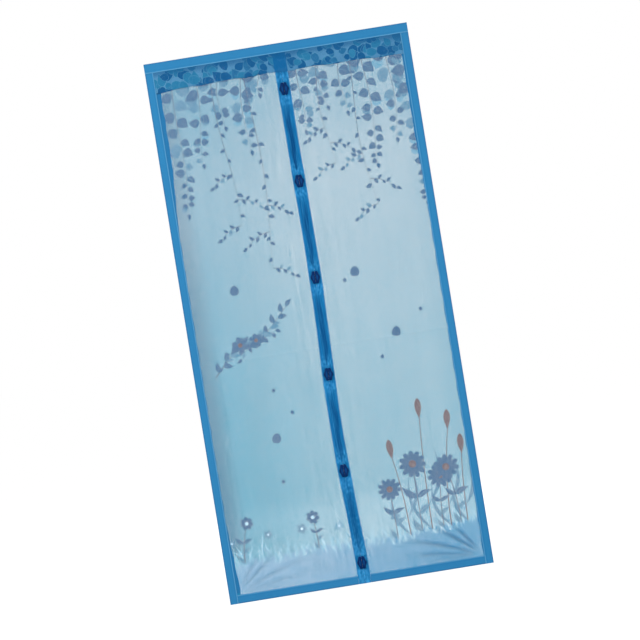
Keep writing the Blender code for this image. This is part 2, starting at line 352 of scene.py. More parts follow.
# Node helpers. A Signal is one value of a node tree, and sums with it add the nodes for them.
class Signal:
    def __init__(self, tree, socket):
        self.tree = tree
        self.socket = socket

    def __add__(self, other):
        return addMath("ADD", self, other)

    def __sub__(self, other):
        return addMath("SUBTRACT", self, other)

    def __mul__(self, other):
        return addMath("MULTIPLY", self, other)

    def __truediv__(self, other):
        return addMath("DIVIDE", self, other)


def feed(socket, value):
    if isinstance(value, Signal):
        value.tree.links.new(value.socket, socket)
    elif isinstance(value, tuple) and socket.type == "RGBA":
        socket.default_value = (*value, 1)
    else:
        socket.default_value = value


def addNode(tree, kind, inputs=None, output=0, **settings):
    node = tree.nodes.new("ShaderNode" + kind)
    for name, value in settings.items():
        setattr(node, name, value)
    for name, value in (inputs or {}).items():
        feed(node.inputs[name], value)
    return None if output is None else Signal(tree, node.outputs[output])


def addMath(operation, first, second=None, clamp=False):
    tree = (first if isinstance(first, Signal) else second).tree
    inputs = {0: first} if second is None else {0: first, 1: second}
    return addNode(tree, "Math", inputs, operation=operation, use_clamp=clamp)


def addNoise(spot, scale, detail, stretch=None):
    if stretch:
        spot = addNode(spot.tree, "VectorMath", {0: spot, 1: stretch}, operation="MULTIPLY")
    return addNode(spot.tree, "TexNoise", {"Vector": spot, "Scale": scale, "Detail": detail}, "Fac")


def addMix(share, first, second):
    return addNode(share.tree, "Mix", {"Factor": share, 6: first, 7: second}, 2, data_type="RGBA")


def addRange(value, low, high, toLow=0.0, toHigh=1.0, kind="LINEAR"):
    inputs = {"Value": value, "From Min": low, "From Max": high, "To Min": toLow, "To Max": toHigh}
    return addNode(value.tree, "MapRange", inputs, "Result", interpolation_type=kind)


def addEase(value, low, high, toLow=0.0, toHigh=1.0):
    return addRange(value, low, high, toLow, toHigh, "SMOOTHSTEP")


def objectSpot(tree):
    return addNode(tree, "TexCoord", output="Object")


def alongLine(spot, direction):
    return addNode(spot.tree, "VectorMath", {0: spot, 1: direction}, "Value", operation="DOT_PRODUCT")


def painted(tree, name):
    return addNode(tree, "Attribute", output="Fac", attribute_name=name)


# 1 for rays of the named kinds, 0 for the others
def raysOf(tree, *kinds):
    total = None
    for kind in kinds:
        ray = addNode(tree, "LightPath", output="Is " + kind + " Ray")
        total = ray if total is None else addMath("MAXIMUM", total, ray)
    return total


def newGroup(name, inputs, outputs):
    tree = bpy.data.node_groups.new(name, "ShaderNodeTree")
    for label, value in inputs.items():
        socket = tree.interface.new_socket(name=label, in_out="INPUT", socket_type="NodeSocketFloat")
        socket.default_value = value
    for label in outputs:
        tree.interface.new_socket(name=label, in_out="OUTPUT", socket_type="NodeSocketFloat")
    given = tree.nodes.new("NodeGroupInput")
    values = {label: Signal(tree, given.outputs[label]) for label in inputs}
    return tree, values, tree.nodes.new("NodeGroupOutput").inputs


def placeGroup(tree, group, **values):
    node = tree.nodes.new("ShaderNodeGroup")
    node.node_tree = group
    for name, value in values.items():
        feed(node.inputs[name], value)
    return {output.name: Signal(tree, output) for output in node.outputs}


# Knitted net: three waves at 60 degrees leave round holes between the threads. The net slides
# sideways with its depth, so that the holes of two layers don't lie over each other.
weave = {
    "angles": (0, 60, 120),
    "slide": (0.6, 0.35),
    "zero": 0.605,             # cover at which the mean wave marks the edge of a thread
    "gain": 2.1,
    "sharpness": 4.0,
}


def makeNetGroup():
    tree, given, result = newGroup("netWeave", {"Pitch": 0.0013, "Cover": 0.65}, ["Thread", "Height"])
    spot = objectSpot(tree)
    waves = []
    for angle in weave["angles"]:
        across, up = math.cos(math.radians(angle)), math.sin(math.radians(angle))
        slide = weave["slide"][0] * across + weave["slide"][1] * up
        line = alongLine(spot, (across, slide, up)) / given["Pitch"]
        waves.append(addMath("COSINE", line * turn))
    mean = (waves[0] + waves[1] + waves[2]) / 3.0
    edge = (given["Cover"] - weave["zero"]) * weave["gain"]
    feed(result["Thread"], addMath("ADD", (edge - mean) * weave["sharpness"], 0.5, clamp=True))
    feed(result["Height"], addMath("SUBTRACT", 0.5, mean, clamp=True))
    return tree


# Scale, detail and stretch of each grain of worn cloth
wear = {
    "broad": (3.2, 3),
    "streak": (7.0, 2, (3.2, 1, 0.35)),
    "wrinkle": (26.0, 4, (1, 1, 0.45)),
    "speck": (520.0, 2),
}


# Broad tone of worn cloth and the small wrinkles in it
def makeClothGroup():
    inputs = {"Spread": 1.0, "Wrinkles": 1.0}
    tree, given, result = newGroup("clothTone", inputs, ["Tone", "Wrinkle", "Speck"])
    spot = objectSpot(tree)
    tone = addNoise(spot, *wear["broad"]) * 0.6 + addNoise(spot, *wear["streak"]) * 0.4
    tone = (tone - 0.5) * given["Spread"] * 2.0
    feed(result["Tone"], addMath("ADD", tone, 0.5, clamp=True))
    feed(result["Wrinkle"], addNoise(spot, *wear["wrinkle"]) * given["Wrinkles"])
    feed(result["Speck"], addNoise(spot, *wear["speck"]))
    return tree


# Woven tape: fine ribs one way, finer yarns the other way
def makeRibGroup():
    tree, given, result = newGroup("ribWeave", {"Rib": 0.0016, "Yarn": 0.0007}, ["Tone", "Height"])
    spot = objectSpot(tree)
    waves = []
    for direction in ((1, 0, 0), (0, 0, 1), (1, 0, 1), (1, 0, -1)):
        pitch = given["Yarn" if all(direction[::2]) else "Rib"]
        waves.append(addMath("SINE", alongLine(spot, direction) / pitch * turn))
    height = waves[0] * waves[1] * 0.3 + waves[2] * waves[3] * 0.2 + 0.5
    feed(result["Height"], height)
    feed(result["Tone"], height * 0.5 + addNoise(spot, 240.0, 2) * 0.5)
    return tree


netGroup = makeNetGroup()
clothGroup = makeClothGroup()
ribGroup = makeRibGroup()


def startMaterial(name, roughness, gloss=0.15):
    material = bpy.data.materials.new(name)
    material.use_nodes = True
    tree = material.node_tree
    shader = tree.nodes["Principled BSDF"].inputs
    shader["Roughness"].default_value = roughness
    shader["Specular IOR Level"].default_value = gloss
    return material, tree, shader


def dress(shader, colour, height, strength, distance):
    feed(shader["Base Color"], colour)
    bump = addNode(height.tree, "Bump", {"Strength": strength, "Distance": distance, "Height": height})
    feed(shader["Normal"], bump)


print("studio")
buildCamera()
buildLights()
buildFloor()

# Net and its printed inks: colour of the threads at the top and at the foot, and how full the net is
netLook = {
    "pitch": 0.0013,
    "topColour": (0.058, 0.318, 0.480),
    "footColour": (0.028, 0.362, 0.535),
    "shadeColour": (0.020, 0.200, 0.340),
    "leftShadeColour": (0.014, 0.150, 0.275),     # painted shade along the left tape
    "foldColour": (0.016, 0.150, 0.330),
    "cover": (0.585, 0.68),          # at the top and at the foot
    "sideCover": 0.102,              # added towards the left edge, and there at the foot
    "lowSideCover": 0.135,
    "highCover": 0.08,               # added close under the header
    "gathers": 0.26,                 # upright gathers along the ribbon
    "gatherGrain": (62.0, 3, (2.4, 1, 0.09)),    # scale, detail and stretch
    "creases": (-0.412, -0.268, -0.152, 0.118, 0.236, 0.352),   # where it was folded for the packet
    "creaseHalf": 0.0022,
    "creaseCover": 0.10,
    "creaseGrain": (4.0, 2),
    "creaseFade": (0.35, 0.62),
    "downRange": (-0.25, -1.75),     # heights of the top's look and of the foot's look
    "leftRange": (0.05, -0.46),
    "highRange": (-0.55, -0.12),
    "leftShadeRange": (-0.385, -0.470),
    "leftShade": 0.75,
    "margin": (0.400, 0.475, 0.035), # where the net gets fuller towards the tapes, and by how much
    "wearAndShade": (0.07, 0.35),            # how far wear changes its fullness and its colour
    "gatherRange": (0.17, 0.03),     # distances from the middle with few and with most gathers
    "foldCover": 0.13,
    "foldShade": 0.80,
    "knit": 0.12,
    "wrinkle": (0.6, 0.0030),        # strength and depth
}
# Inks: colour, and how full the net is with it at the left and at the right edge
inkLook = {
    "slate": ((0.040, 0.135, 0.270), 0.95, 0.95),
    "teal": ((0.050, 0.215, 0.365), 0.88, 0.88),
    "haze": ((0.035, 0.280, 0.460), 0.80, 0.80),
    "seed": ((0.117, 0.079, 0.098), 0.90, 0.90),
    "blade": ((0.044, 0.370, 0.545), 0.72, 0.70),
    "light": ((0.105, 0.435, 0.610), 0.69, 0.67),
    "pale": ((0.220, 0.530, 0.720), 0.68, 0.68),
    "ground": ((0.014, 0.265, 0.495), 0.71, 0.85),
    "vine": ((0.085, 0.115, 0.185), 0.92, 0.92),
    "backed": ((0.016, 0.175, 0.400), 0.97, 0.97),
}
inkWear = {
    "spread": 1.2,
    "edges": (-0.45, 0.45),          # where the left and the right look are reached
    "paler": (1.35, 0.01),
    "fade": 0.6,
    "mottle": 0.08,
}


# Folds and gathers: more thread in the line of sight there, and less light on it
def addFolds(cover, colour, spot):
    folds = painted(spot.tree, "foldTone")
    away = addMath("ABSOLUTE", alongLine(spot, (1, 0, 0)))
    nearHem = addEase(away, *netLook["gatherRange"], 0.25, 1.0)
    streak = (addNoise(spot, *netLook["gatherGrain"]) - 0.5) * nearHem * netLook["gathers"]
    shade = addMath("MULTIPLY", folds, netLook["foldShade"], clamp=True)
    cover += folds * netLook["foldCover"] + streak
    return cover, addMix(shade, colour, netLook["foldColour"]), streak


def weaveNet(shader, cloth, cover, colour, streak):
    net = placeGroup(cover.tree, netGroup, Pitch=netLook["pitch"], Cover=cover)
    feed(shader["Alpha"], net["Thread"])
    dress(shader, colour, net["Height"] * netLook["knit"] + cloth["Wrinkle"] + streak, *netLook["wrinkle"])


def makeNetMaterial():
    material, tree, shader = startMaterial("blueNet", 0.75)
    spot = objectSpot(tree)
    across, up = alongLine(spot, (1, 0, 0)), alongLine(spot, (0, 0, 1))
    down = addEase(up, *netLook["downRange"])
    cloth = placeGroup(tree, clothGroup, Spread=0.9)
    top, foot = netLook["cover"]
    sideways = addRange(down, 0.0, 1.0, netLook["sideCover"], netLook["lowSideCover"])
    cover = down * (foot - top) + top + addEase(across, *netLook["leftRange"]) * sideways
    cover += addEase(up, *netLook["highRange"]) * netLook["highCover"]
    cover += (cloth["Tone"] - 0.5) * netLook["wearAndShade"][0]
    start, end, added = netLook["margin"]
    cover += addEase(addMath("ABSOLUTE", across), start, end) * added
    fade = addRange(addNoise(spot, *netLook["creaseGrain"]), *netLook["creaseFade"])
    for place in netLook["creases"]:
        away = addMath("ABSOLUTE", across - place)
        cover += addRange(away, netLook["creaseHalf"], 0.0, 0.0, netLook["creaseCover"]) * fade
    colour = addMix(down, netLook["topColour"], netLook["footColour"])
    # Painted shade: the net darker and greyer towards the left tape
    leftShade = addEase(across, *netLook["leftShadeRange"], 0.0, netLook["leftShade"])
    colour = addMix(leftShade, colour, netLook["leftShadeColour"])
    cover, colour, streak = addFolds(cover, colour, spot)
    colour = addMix(cloth["Speck"] * netLook["wearAndShade"][1], colour, netLook["shadeColour"])
    weaveNet(shader, cloth, cover, colour, streak)
    return material


def makeInkMaterial(name, colour, leftCover, rightCover):
    material, tree, shader = startMaterial("ink" + name.capitalize(), 0.7)
    spot = objectSpot(tree)
    cloth = placeGroup(tree, clothGroup, Spread=inkWear["spread"])
    cover = addEase(alongLine(spot, (1, 0, 0)), *inkWear["edges"], leftCover, rightCover)
    grow, lift = inkWear["paler"]
    faded = tuple(min(1.0, part * grow + lift) for part in colour)
    tint = addMix(cloth["Speck"] * inkWear["fade"], colour, faded)
    cover, tint, streak = addFolds(cover + (cloth["Tone"] - 0.5) * inkWear["mottle"], tint, spot)
    weaveNet(shader, cloth, cover, tint, streak)
    return material


netMaterial = makeNetMaterial()
inkMaterials = {name: makeInkMaterial(name, *look) for name, look in inkLook.items()}


# Outlines for the print. Each one is a closed list of (x, z) points; way is 0 for straight down.
def turned(points, spot, way):
    across, along = math.cos(way), math.sin(way)
    return [(spot[0] + px * across - pz * along, spot[1] + px * along + pz * across) for px, pz in points]


def leafOutline(spot, length, width, way, curl=0.12):
    steps = 11
    left = []
    right = []
    for step in range(1, steps):
        t = step / steps
        half = width / 2 * math.sin(math.pi * t ** 0.74) ** 1.08
        bend = curl * length * math.sin(math.pi * t) * 0.5
        left.append((bend - half, -length * t))
        right.append((bend + half, -length * t))
    return turned([(0, 0)] + left + [(0, -length)] + right[::-1], spot, way)


def petalOutline(spot, length, width, way):
    left = []
    right = []
    for step in range(1, 10):
        angle = math.pi * step / 10
        half = width / 2 * math.sin(angle)
        down = length * (0.5 - 0.5 * math.cos(angle)) ** 0.8
        left.append((-half * 1.05, -down))
        right.append((half, -down))
    return turned([(0, 0)] + left + [(0, -length * 0.93)] + right[::-1], spot, way)


def discOutline(spot, radius, count=12):
    ways = [turn * k / count for k in range(count)]
    return [(spot[0] + radius * math.cos(way), spot[1] + radius * math.sin(way)) for way in ways]


def stemOutline(points, width, tip=0.3):
    left = []
    right = []
    for k, (x, z) in enumerate(points):
        before = points[max(k - 1, 0)]
        after = points[min(k + 1, len(points) - 1)]
        dx, dz = after[0] - before[0], after[1] - before[1]
        size = math.hypot(dx, dz)
        half = width / 2 * (1 - (1 - tip) * k / (len(points) - 1))
        left.append((x - dz / size * half, z + dx / size * half))
        right.append((x + dz / size * half, z - dx / size * half))
    return left + right[::-1]


def pointAt(line, t):
    return line[int(t * (len(line) - 1))]


# How far the tape's back leaf reaches past its front leaf: at the top, midway and at the foot
facing = {
    "left": (0.0165, 0.0010, 0.0150),
    "right": (0.0060, 0.0010, 0.0030),
    "topShare": (0.17, 0.33),        # where down the side the reach falls off and comes back
    "footShare": (0.83, 1.0),
    "ripple": 0.0009,
    "pitches": (0.100, 0.037),
}


def facingReach(side, z):
    drop = topZ - z
    down = drop / screen["height"]
    top, middle, bottom = facing["left" if side < 0 else "right"]
    base = middle + (top - middle) * (1 - smooth(down, *facing["topShare"]))
    base += (bottom - middle) * smooth(down, *facing["footShare"])
    coarse, fine = facing["pitches"]
    ripple = math.sin(turn * drop / coarse) + math.sin(turn * drop / fine) / 2
    return base + facing["ripple"] * ripple


printLook = {
    "seed": 41,
    "reach": (-0.01, 0.50),          # from the ribbon to the side tape
    "sprayStart": 0.062,
    "sprayPitch": 0.086,
    "sprayLength": (0.21, 0.42, 0.10),   # in the middle, added at the sides, swing
    "sprayTop": 0.050,               # below the top edge, hidden by the header
    "leaf": (0.064, 0.022),          # length at the top of a spray and at its tip
    "ribbed": 0.034,                 # longer leaves have a rib
    "vines": {-1: ((0.140, 0.80), (0.265, 0.62)), 1: ((0.140, 0.44), (0.265, 0.62))},
    "vineTwigs": ((0.70, 0.075), (0.84, 0.095), (1.0, 0.080)),
    "stem": 0.0030,
    "groundRise": 0.164,
    "rooted": 0.010,
    "reeds": ((0.215, 0.33, -0.03), (0.300, 0.46, 0.02), (0.375, 0.40, 0.05), (0.440, 0.29, 0.02)),
    "daisies": ((0.165, 0.19, 0.046), (0.262, 0.26, 0.055), (0.345, 0.20, 0.050), (0.415, 0.22, 0.052)),
    "smallDaisies": ((-0.43, 0.15, 0.027), (-0.14, 0.12, 0.027)),
    "fallen": 8,
    "fallenFrom": (-0.80, 0.84),
    "kept": {-1: (-1.26, -0.88), 1: (-2.00, -1.34)},       # heights left free of petals
    "branch": {
        "from": (-0.430, -1.215),
        "to": (-0.120, -0.985),
        "bend": 0.040,
        "steps": 24,
        "leaf": 0.036,
        "twigs": ((5, 0.110), (9, -0.100), (13, 0.095), (17, -0.085)),
        "blooms": ((7, 0.034), (15, 0.028)),
    },
}


# The motifs of one panel: outlines with their inks, the later ones on top
class Artwork:
    def __init__(self, seed):
        self.rand = random.Random(seed)
        self.motifs = []

    def add(self, outline, ink):
        self.motifs.append((outline, ink))

    def leaf(self, spot, size, way, ink, broad=0.60):
        self.add(leafOutline(spot, size, size * broad, way, 0.16), ink)
        if size > printLook["ribbed"]:
            rib = [(0, -size * 0.05), (0.001 + size * 0.05, -size * 0.45), (0, -size * 0.82)]
            self.add(stemOutline(turned(rib, spot, way), 0.0014), "haze")

    def mostlySlate(self, share=0.75):
        return "slate" if self.rand.random() < share else "teal"

    def hangingStem(self, x, length, sway, lean):
        phase = self.rand.uniform(0, 6)
        lean = self.rand.uniform(-lean, lean)
        count = max(int(length / 0.02), 4)
        stem = []
        for k in range(count + 1):
            t = k / count
            across = x + lean * t + sway * math.sin(phase + 5 * t) * t ** 0.5
            stem.append((across, topZ - printLook["sprayTop"] - length * t))
        self.add(stemOutline(stem, printLook["stem"]), "vine")
        return stem


# One hanging spray: leaves in turn on both sides of a stem, smaller towards the tip
def addSpray(art, x, length):
    rand = art.rand
    big, small = printLook["leaf"]
    stem = art.hangingStem(x, length, 0.012, 0.02)
    side = rand.choice((-1, 1))
    along = 0.020
    while along < length:
        t = along / length
        px, pz = pointAt(stem, t)
        size = (big + (small - big) * t ** 0.9) * rand.uniform(0.80, 1.10)
        way = side * rand.uniform(0.80, 1.75)
        if t < 0.75 and rand.random() < 0.50:
            behind = (px + side * size * 0.30, pz - size * 0.16)
            shade = petalOutline(behind, size * 0.9, size * 0.8, way * 0.5)
            art.add(shade, "haze" if rand.random() < 0.35 else "teal")
        ink = art.mostlySlate(0.78)
        art.leaf((px + side * 0.003, pz), size * 1.08, way, ink, rand.choice((0.66, 0.80, 0.88)))
        along += size * rand.uniform(0.58, 0.88)
        side = -side
    tipX, tipZ = stem[-1]
    art.leaf((tipX, tipZ + 0.004), small * 1.1, 0.1, "slate")


def addVine(art, x, length):
    rand = art.rand
    stem = art.hangingStem(x, length, 0.018, 0.03)
    side = 1
    along = 0.10
    while along < length:
        size = rand.uniform(0.018, 0.028)
        art.leaf(pointAt(stem, along / length), size, side * rand.uniform(0.5, 1.3), "slate")
        side = -side
        along += rand.uniform(0.030, 0.070)
    for t, reach in printLook["vineTwigs"]:
        addTwig(art, pointAt(stem, t), side * reach, reach * 0.5)
        side = -side


# A side twig with leaves above and below in turn, and one at its tip
def addTwig(art, spot, reach, drop):
    steps = 6
    line = [(spot[0] + reach * k / steps, spot[1] - drop * (k / steps) ** 2) for k in range(steps + 1)]
    art.add(stemOutline(line, 0.0026), "vine")
    way = math.copysign(1.0, reach)
    for k in range(1, steps):
        ink = art.mostlySlate()
        art.leaf(line[k], art.rand.uniform(0.019, 0.026), way * (0.45 if k % 2 else 2.25), ink, 0.55)
    art.leaf(line[-1], 0.024, way, "slate", 0.55)


def addBloom(art, spot, size, petals, ink, heart):
    for k in range(petals):
        art.add(petalOutline(spot, size, size * 3.2 / petals, turn * k / petals + 0.2), ink)
    art.add(discOutline(spot, size * 0.26), heart)


# A long leafy branch in a slow double bend, with side twigs and a few blooms
def addBranch(art):
    look = printLook["branch"]
    (startX, startZ), (endX, endZ) = look["from"], look["to"]
    line = []
    for k in range(look["steps"] + 1):
        t = k / look["steps"]
        bend = look["bend"] * math.sin(turn * t)
        line.append((startX + (endX - startX) * t + bend * 0.6, startZ + (endZ - startZ) * t + bend))
    art.add(stemOutline(line, 0.0040, 0.5), "vine")
    for k, reach in look["twigs"]:
        addTwig(art, line[k], reach, -0.35 * reach if reach > 0 else -0.8 * reach)
    for k in range(1, look["steps"]):
        before, after = line[k - 1], line[k + 1]
        way = math.atan2(after[1] - before[1], after[0] - before[0]) + math.pi / 2
        tilt = (0.80 if k % 2 else -0.80) + art.rand.uniform(-0.15, 0.15)
        size = look["leaf"] * art.rand.uniform(0.80, 1.15)
        art.leaf(line[k], size, way + tilt, art.mostlySlate(), 0.50)
        if k % 3 == 0:
            art.leaf(line[k], size * 0.7, way - tilt, "teal", 0.50)
    art.leaf(line[-1], look["leaf"], way, "slate", 0.50)
    for k, size in look["blooms"]:
        addBloom(art, (line[k][0], line[k][1] + 0.004), size, 6, "slate", "seed")


def groundHeight(x):
    rise = printLook["groundRise"] + 0.022 * smooth(x, 0.05, 0.45)
    return bottomZ + rise + 0.006 * math.sin(x * 9 + 2.4) + 0.004 * math.sin(x * 29)


def risingStem(art, x, height, lean, steps, width, tip, ink):
    foot = groundHeight(x) - printLook["rooted"]
    stem = [(x + lean * (k / steps) ** 2, foot + height * k / steps) for k in range(steps + 1)]
    art.add(stemOutline(stem, width, tip), ink)
    return stem


def addReed(art, x, height, lean):
    stem = risingStem(art, x, height, lean, 5, 0.0042, 0.6, "seed")
    for spot, way, curl in ((stem[0], 0.26, 0.3), (stem[1], -0.22, -0.3)):
        size = height * art.rand.uniform(0.42, 0.58)
        art.add(leafOutline(spot, size, 0.014, math.pi + way, curl), "teal")
    tipX, tipZ = stem[-1]
    art.add(leafOutline((tipX, tipZ + 0.045), 0.080, 0.026, -lean * 2, 0), "seed")


def addDaisy(art, x, height, radius, petals=11, heart="seed"):
    stem = risingStem(art, x, height, art.rand.uniform(-0.03, 0.03), 4, 0.0036, 0.8, "vine")
    for k, tilt in ((0, 0.50), (1, -0.95), (2, 0.85), (2, -1.20)):
        size = height * art.rand.uniform(0.20, 0.28)
        art.leaf(stem[k], size, math.pi + tilt, "teal" if k < 2 else "slate", 0.36)
    for k in range(petals):
        size = radius * art.rand.uniform(0.92, 1.05)
        art.add(petalOutline(stem[-1], size, radius * 4.0 / petals, turn * (k + 0.5) / petals), "slate")
    art.add(discOutline(stem[-1], radius * 0.27), heart)


# A tuft of long curved blades, some lighter and some deeper than the net
def addTuft(art, x, z, tall):
    rand = art.rand
    for k in range(6):
        spread = k - 2.5
        way = math.pi + spread * 0.24 + rand.uniform(-0.15, 0.15)
        size = tall * (1 - 0.13 * abs(spread)) * rand.uniform(0.70, 1.15)
        ink = rand.choice(("light", "blade", "blade", "haze"))
        foot = (x + 0.004 * spread, z - rand.uniform(0, 0.030))
        art.add(leafOutline(foot, size, rand.uniform(0.0045, 0.0075), way, -0.10 * spread), ink)


def addMeadow(art, low, high):
    rand = art.rand
    steps = 40
    across = [low + (high - low) * k / steps for k in range(steps + 1)]
    under = bottomZ - printLook["rooted"]
    art.add([(x, groundHeight(x)) for x in across] + [(high, under), (low, under)], "ground")
    x = low
    while x < high:
        addTuft(art, x, groundHeight(x) - 0.006, rand.uniform(0.050, 0.100))
        x += rand.uniform(0.014, 0.034)
    x = low + 0.03
    while x < high:
        base = groundHeight(x)
        rise = rand.uniform(0.045, 0.095)
        stem = [(x, base), (x + 0.004, base + rise / 2), (x, base + rise)]
        art.add(stemOutline(stem, printLook["stem"]), "blade")
        addBloom(art, stem[-1], rand.uniform(0.016, 0.022), 5, rand.choice(("teal", "haze")), "pale")
        x += rand.uniform(0.09, 0.16)


def addFallenPetals(art, side):
    top, deep = printLook["fallenFrom"]
    low, high = printLook["kept"][side]
    for k in range(printLook["fallen"]):
        x = side * art.rand.uniform(0.12, 0.44)
        z = top - deep * (k + art.rand.random()) / printLook["fallen"]
        if not low < z < high:
            size = 0.016 if k % 3 else 0.040
            art.add(petalOutline((x, z), size, size * 0.85, art.rand.uniform(-0.6, 0.6)), "slate")


# The print of one panel, and over it the strip where the tape's back leaf shows through the net
def makePrint(side):
    art = Artwork(printLook["seed"] + side)
    low, high = sorted(side * reach for reach in printLook["reach"])
    addMeadow(art, low, high)
    if side > 0:
        for reed in printLook["reeds"]:
            addReed(art, *reed)
        for daisy in printLook["daisies"]:
            addDaisy(art, *daisy)
    else:
        for daisy in printLook["smallDaisies"]:
            addDaisy(art, *daisy, 7, "pale")
        addBranch(art)
    short, added, swing = printLook["sprayLength"]
    for k in range(int((high - low) / printLook["sprayPitch"]) + 1):
        x = side * (printLook["sprayStart"] + printLook["sprayPitch"] * k)
        length = short + added * (x / halfWidth) ** 2 + swing * math.sin(k * 2.4 + side)
        addSpray(art, x + art.rand.uniform(-0.010, 0.010), length)
    for out, length in printLook["vines"][side]:
        addVine(art, side * out, length)
    addFallenPetals(art, side)
    levels = [topZ - screen["headerDrop"] + 0.03 - 0.02 * k for k in range(105)]
    levels = [z for z in levels if z > footZ - 0.01]
    strip = [(side * (innerX + 0.01), z) for z in levels]
    strip += [(side * (innerX - facingReach(side, z)), z) for z in reversed(levels)]
    art.add(strip, "backed")
    return art.motifs


def anticlockwise(shape):
    ends = zip(shape, shape[1:] + shape[:1])
    area = sum(first[0] * second[1] - second[0] * first[1] for first, second in ends)
    return shape if area > 0 else shape[::-1]


# A sheet with its print: the outline, a grid and every motif are cut into one flat triangle
# mesh, and each triangle takes the ink on top of it. place() then bends the sheet into shape.
def printedSheet(name, outline, grid, motifs, place, base, inks, node):
    points = []
    faces = []
    for shape in [outline] + [motif[0] for motif in motifs]:
        start = len(points)
        points += [Vector(point) for point in anticlockwise(shape)]
        faces.append(list(range(start, len(points))))
    points += [Vector(point) for point in grid]
    cut = geometry.delaunay_2d_cdt(points, [], faces, 0, 1e-7, True)
    flat, triangles, sources = cut[0], cut[2], cut[5]
    used = {}
    order = []
    kept = []
    slots = []
    names = [base] + sorted(inks)
    for triangle, source in zip(triangles, sources):
        if 0 not in source:
            continue
        for corner in triangle:
            if corner not in used:
                used[corner] = len(order)
                order.append(corner)
        kept.append([used[corner] for corner in triangle])
        top = max(source)
        slots.append(names.index(motifs[top - 1][1]) if top else 0)
    vertices = [place(flat[corner].x, flat[corner].y) for corner in order]
    mesh = makeMesh(name, vertices, kept, [base] + [inks[ink] for ink in names[1:]], slots)
    return addPiece(name, mesh, node)


netGrid = {"across": 0.013, "rows": 150, "corner": 0.0036, "cornerReach": (0.24, 0.19)}


def buildNet(side, name, node):
    top = topZ - screen["foldGap"]
    foot = bottomZ + screen["foldGap"]
    fold = side * (halfWidth - screen["foldGap"])
    lap = side * (screen["ribbon"] + screen["gap"])
    rows = netGrid["rows"]
    levels = [top + (foot - top) * k / rows for k in range(rows + 1)]
    outline = [(fold, z) for z in levels] + [(hemInner(side, z) + lap, z) for z in reversed(levels)]
    grid = []
    for z in levels[1:-1]:
        inner = hemInner(side, z) + lap
        count = int(abs(fold - inner) / netGrid["across"])
        grid += [(inner + (fold - inner) * k / count, z) for k in range(1, count)]
    step = netGrid["corner"]
    wide, tall = netGrid["cornerReach"]
    heights = [footZ + step * (row + 0.5) for row in range(int(tall / step))]
    for column in range(1, int(wide / step)):
        grid += [(side * (innerX - step * column), z) for z in heights]
    sheet = printedSheet(name, outline, grid, makePrint(side), lambda x, z: (x, panelY(side, x, z), z),
                         netMaterial, inkMaterials, node)
    tones = [min(cornerFolds(side, spot.co.x, spot.co.z - 0.002), 1.0) for spot in sheet.data.vertices]
    sheet.data.attributes.new("foldTone", "FLOAT", "POINT").data.foreach_set("value", tones)
    return sheet


print("net panels")
netLeft = buildNet(-1, "netLeft", "mesh_panel_left")
netRight = buildNet(1, "netRight", "mesh_panel_right")
print("net faces", len(netLeft.data.polygons), len(netRight.data.polygons))

# Header: one strip of printed cloth folded in two, its fold is the scalloped lower edge
header = {
    "scallop": 0.0018,
    "scallopPitch": 0.170,
    "ripple": 0.0022,
    "back": 0.0011,
    "thickness": 0.0009,
    "seed": 12,
    "leaves": 112,
    "leafSize": (0.030, 0.050),
    "leafRows": ((0.30, 1.05), (1.05, 1.75)),    # along the folded strip, with the fold at 1
    "leafBroad": 0.72,
    "leafTurn": 1.6,
    "rimGrow": 1.07,
    "colour": (0.118, 0.352, 0.600),       # between the printed leaves
    "deep": (0.010, 0.110, 0.290),
    "leafColours": {
        "deepLeaf": (0.014, 0.128, 0.335),
        "midLeaf": (0.034, 0.200, 0.415),
        "tealLeaf": (0.036, 0.255, 0.470),
        "rim": (0.125, 0.385, 0.605),
    },
    "ribbonColour": (0.006, 0.140, 0.385),   # where the ribbon lies behind the cloth
    "ribbonShare": 0.88,
    "shadow": (0.030, 0.004, 0.6),           # below the top tape: from, to and how dark
    "cover": 0.93,
    "mottle": 0.42,
    "crinkle": 0.0007,
    "bump": (0.8, 0.0025),
}


def makeHeaderMaterial(name, colour):
    material, tree, shader = startMaterial(name, 0.75, 0.05)
    spot = objectSpot(tree)
    cloth = placeGroup(tree, clothGroup, Spread=1.6, Wrinkles=1.2)
    mottled = addMix(cloth["Tone"] * header["mottle"], colour, header["deep"])
    away = addMath("ABSOLUTE", alongLine(spot, (1, 0, 0)) - centreX(topZ))
    behind = addEase(away, closure["reach"] + 0.002, closure["reach"] - 0.001)
    mottled = addMix(behind * header["ribbonShare"], mottled, header["ribbonColour"])
    low, high, dark = header["shadow"]
    shade = addEase(alongLine(spot, (0, 0, 1)), tapeLowZ - low, tapeLowZ - high)
    net = placeGroup(tree, netGroup, Pitch=netLook["pitch"], Cover=header["cover"])
    feed(shader["Alpha"], net["Thread"])
    shadowed = addMix(shade * dark, mottled, header["deep"])
    dress(shader, shadowed, net["Height"] * 0.15 + cloth["Wrinkle"], *header["bump"])
    return material


def headerPlace(x, t):
    edge = innerX - screen["gap"]
    wave = turn * x / header["scallopPitch"]
    sag = screen["headerSag"] * abs(x / edge) ** 3 + header["scallop"] * math.sin(wave)
    low = topZ - screen["headerDrop"] - sag
    start = topZ - screen["foldGap"]
    z = start + (low - start) * (t if t < 1 else 2 - t)
    ripple = header["ripple"] * (1 + math.sin(wave + 1.3)) / 2
    ripple *= smooth(tapeLowZ - z, 0, tapeLowZ - low)
    front = meshY - header["back"] - header["thickness"]
    back = meshY - header["back"] - screen["ribbon"] / 2
    y = front + (back - front) * smooth(t, 0.994, 1.006)
    crinkle = header["crinkle"] * smooth(tapeLowZ - z, 0, 0.02) * noiseAt(x * 55, 3, z * 40)
    return x, y - ripple - abs(crinkle), z


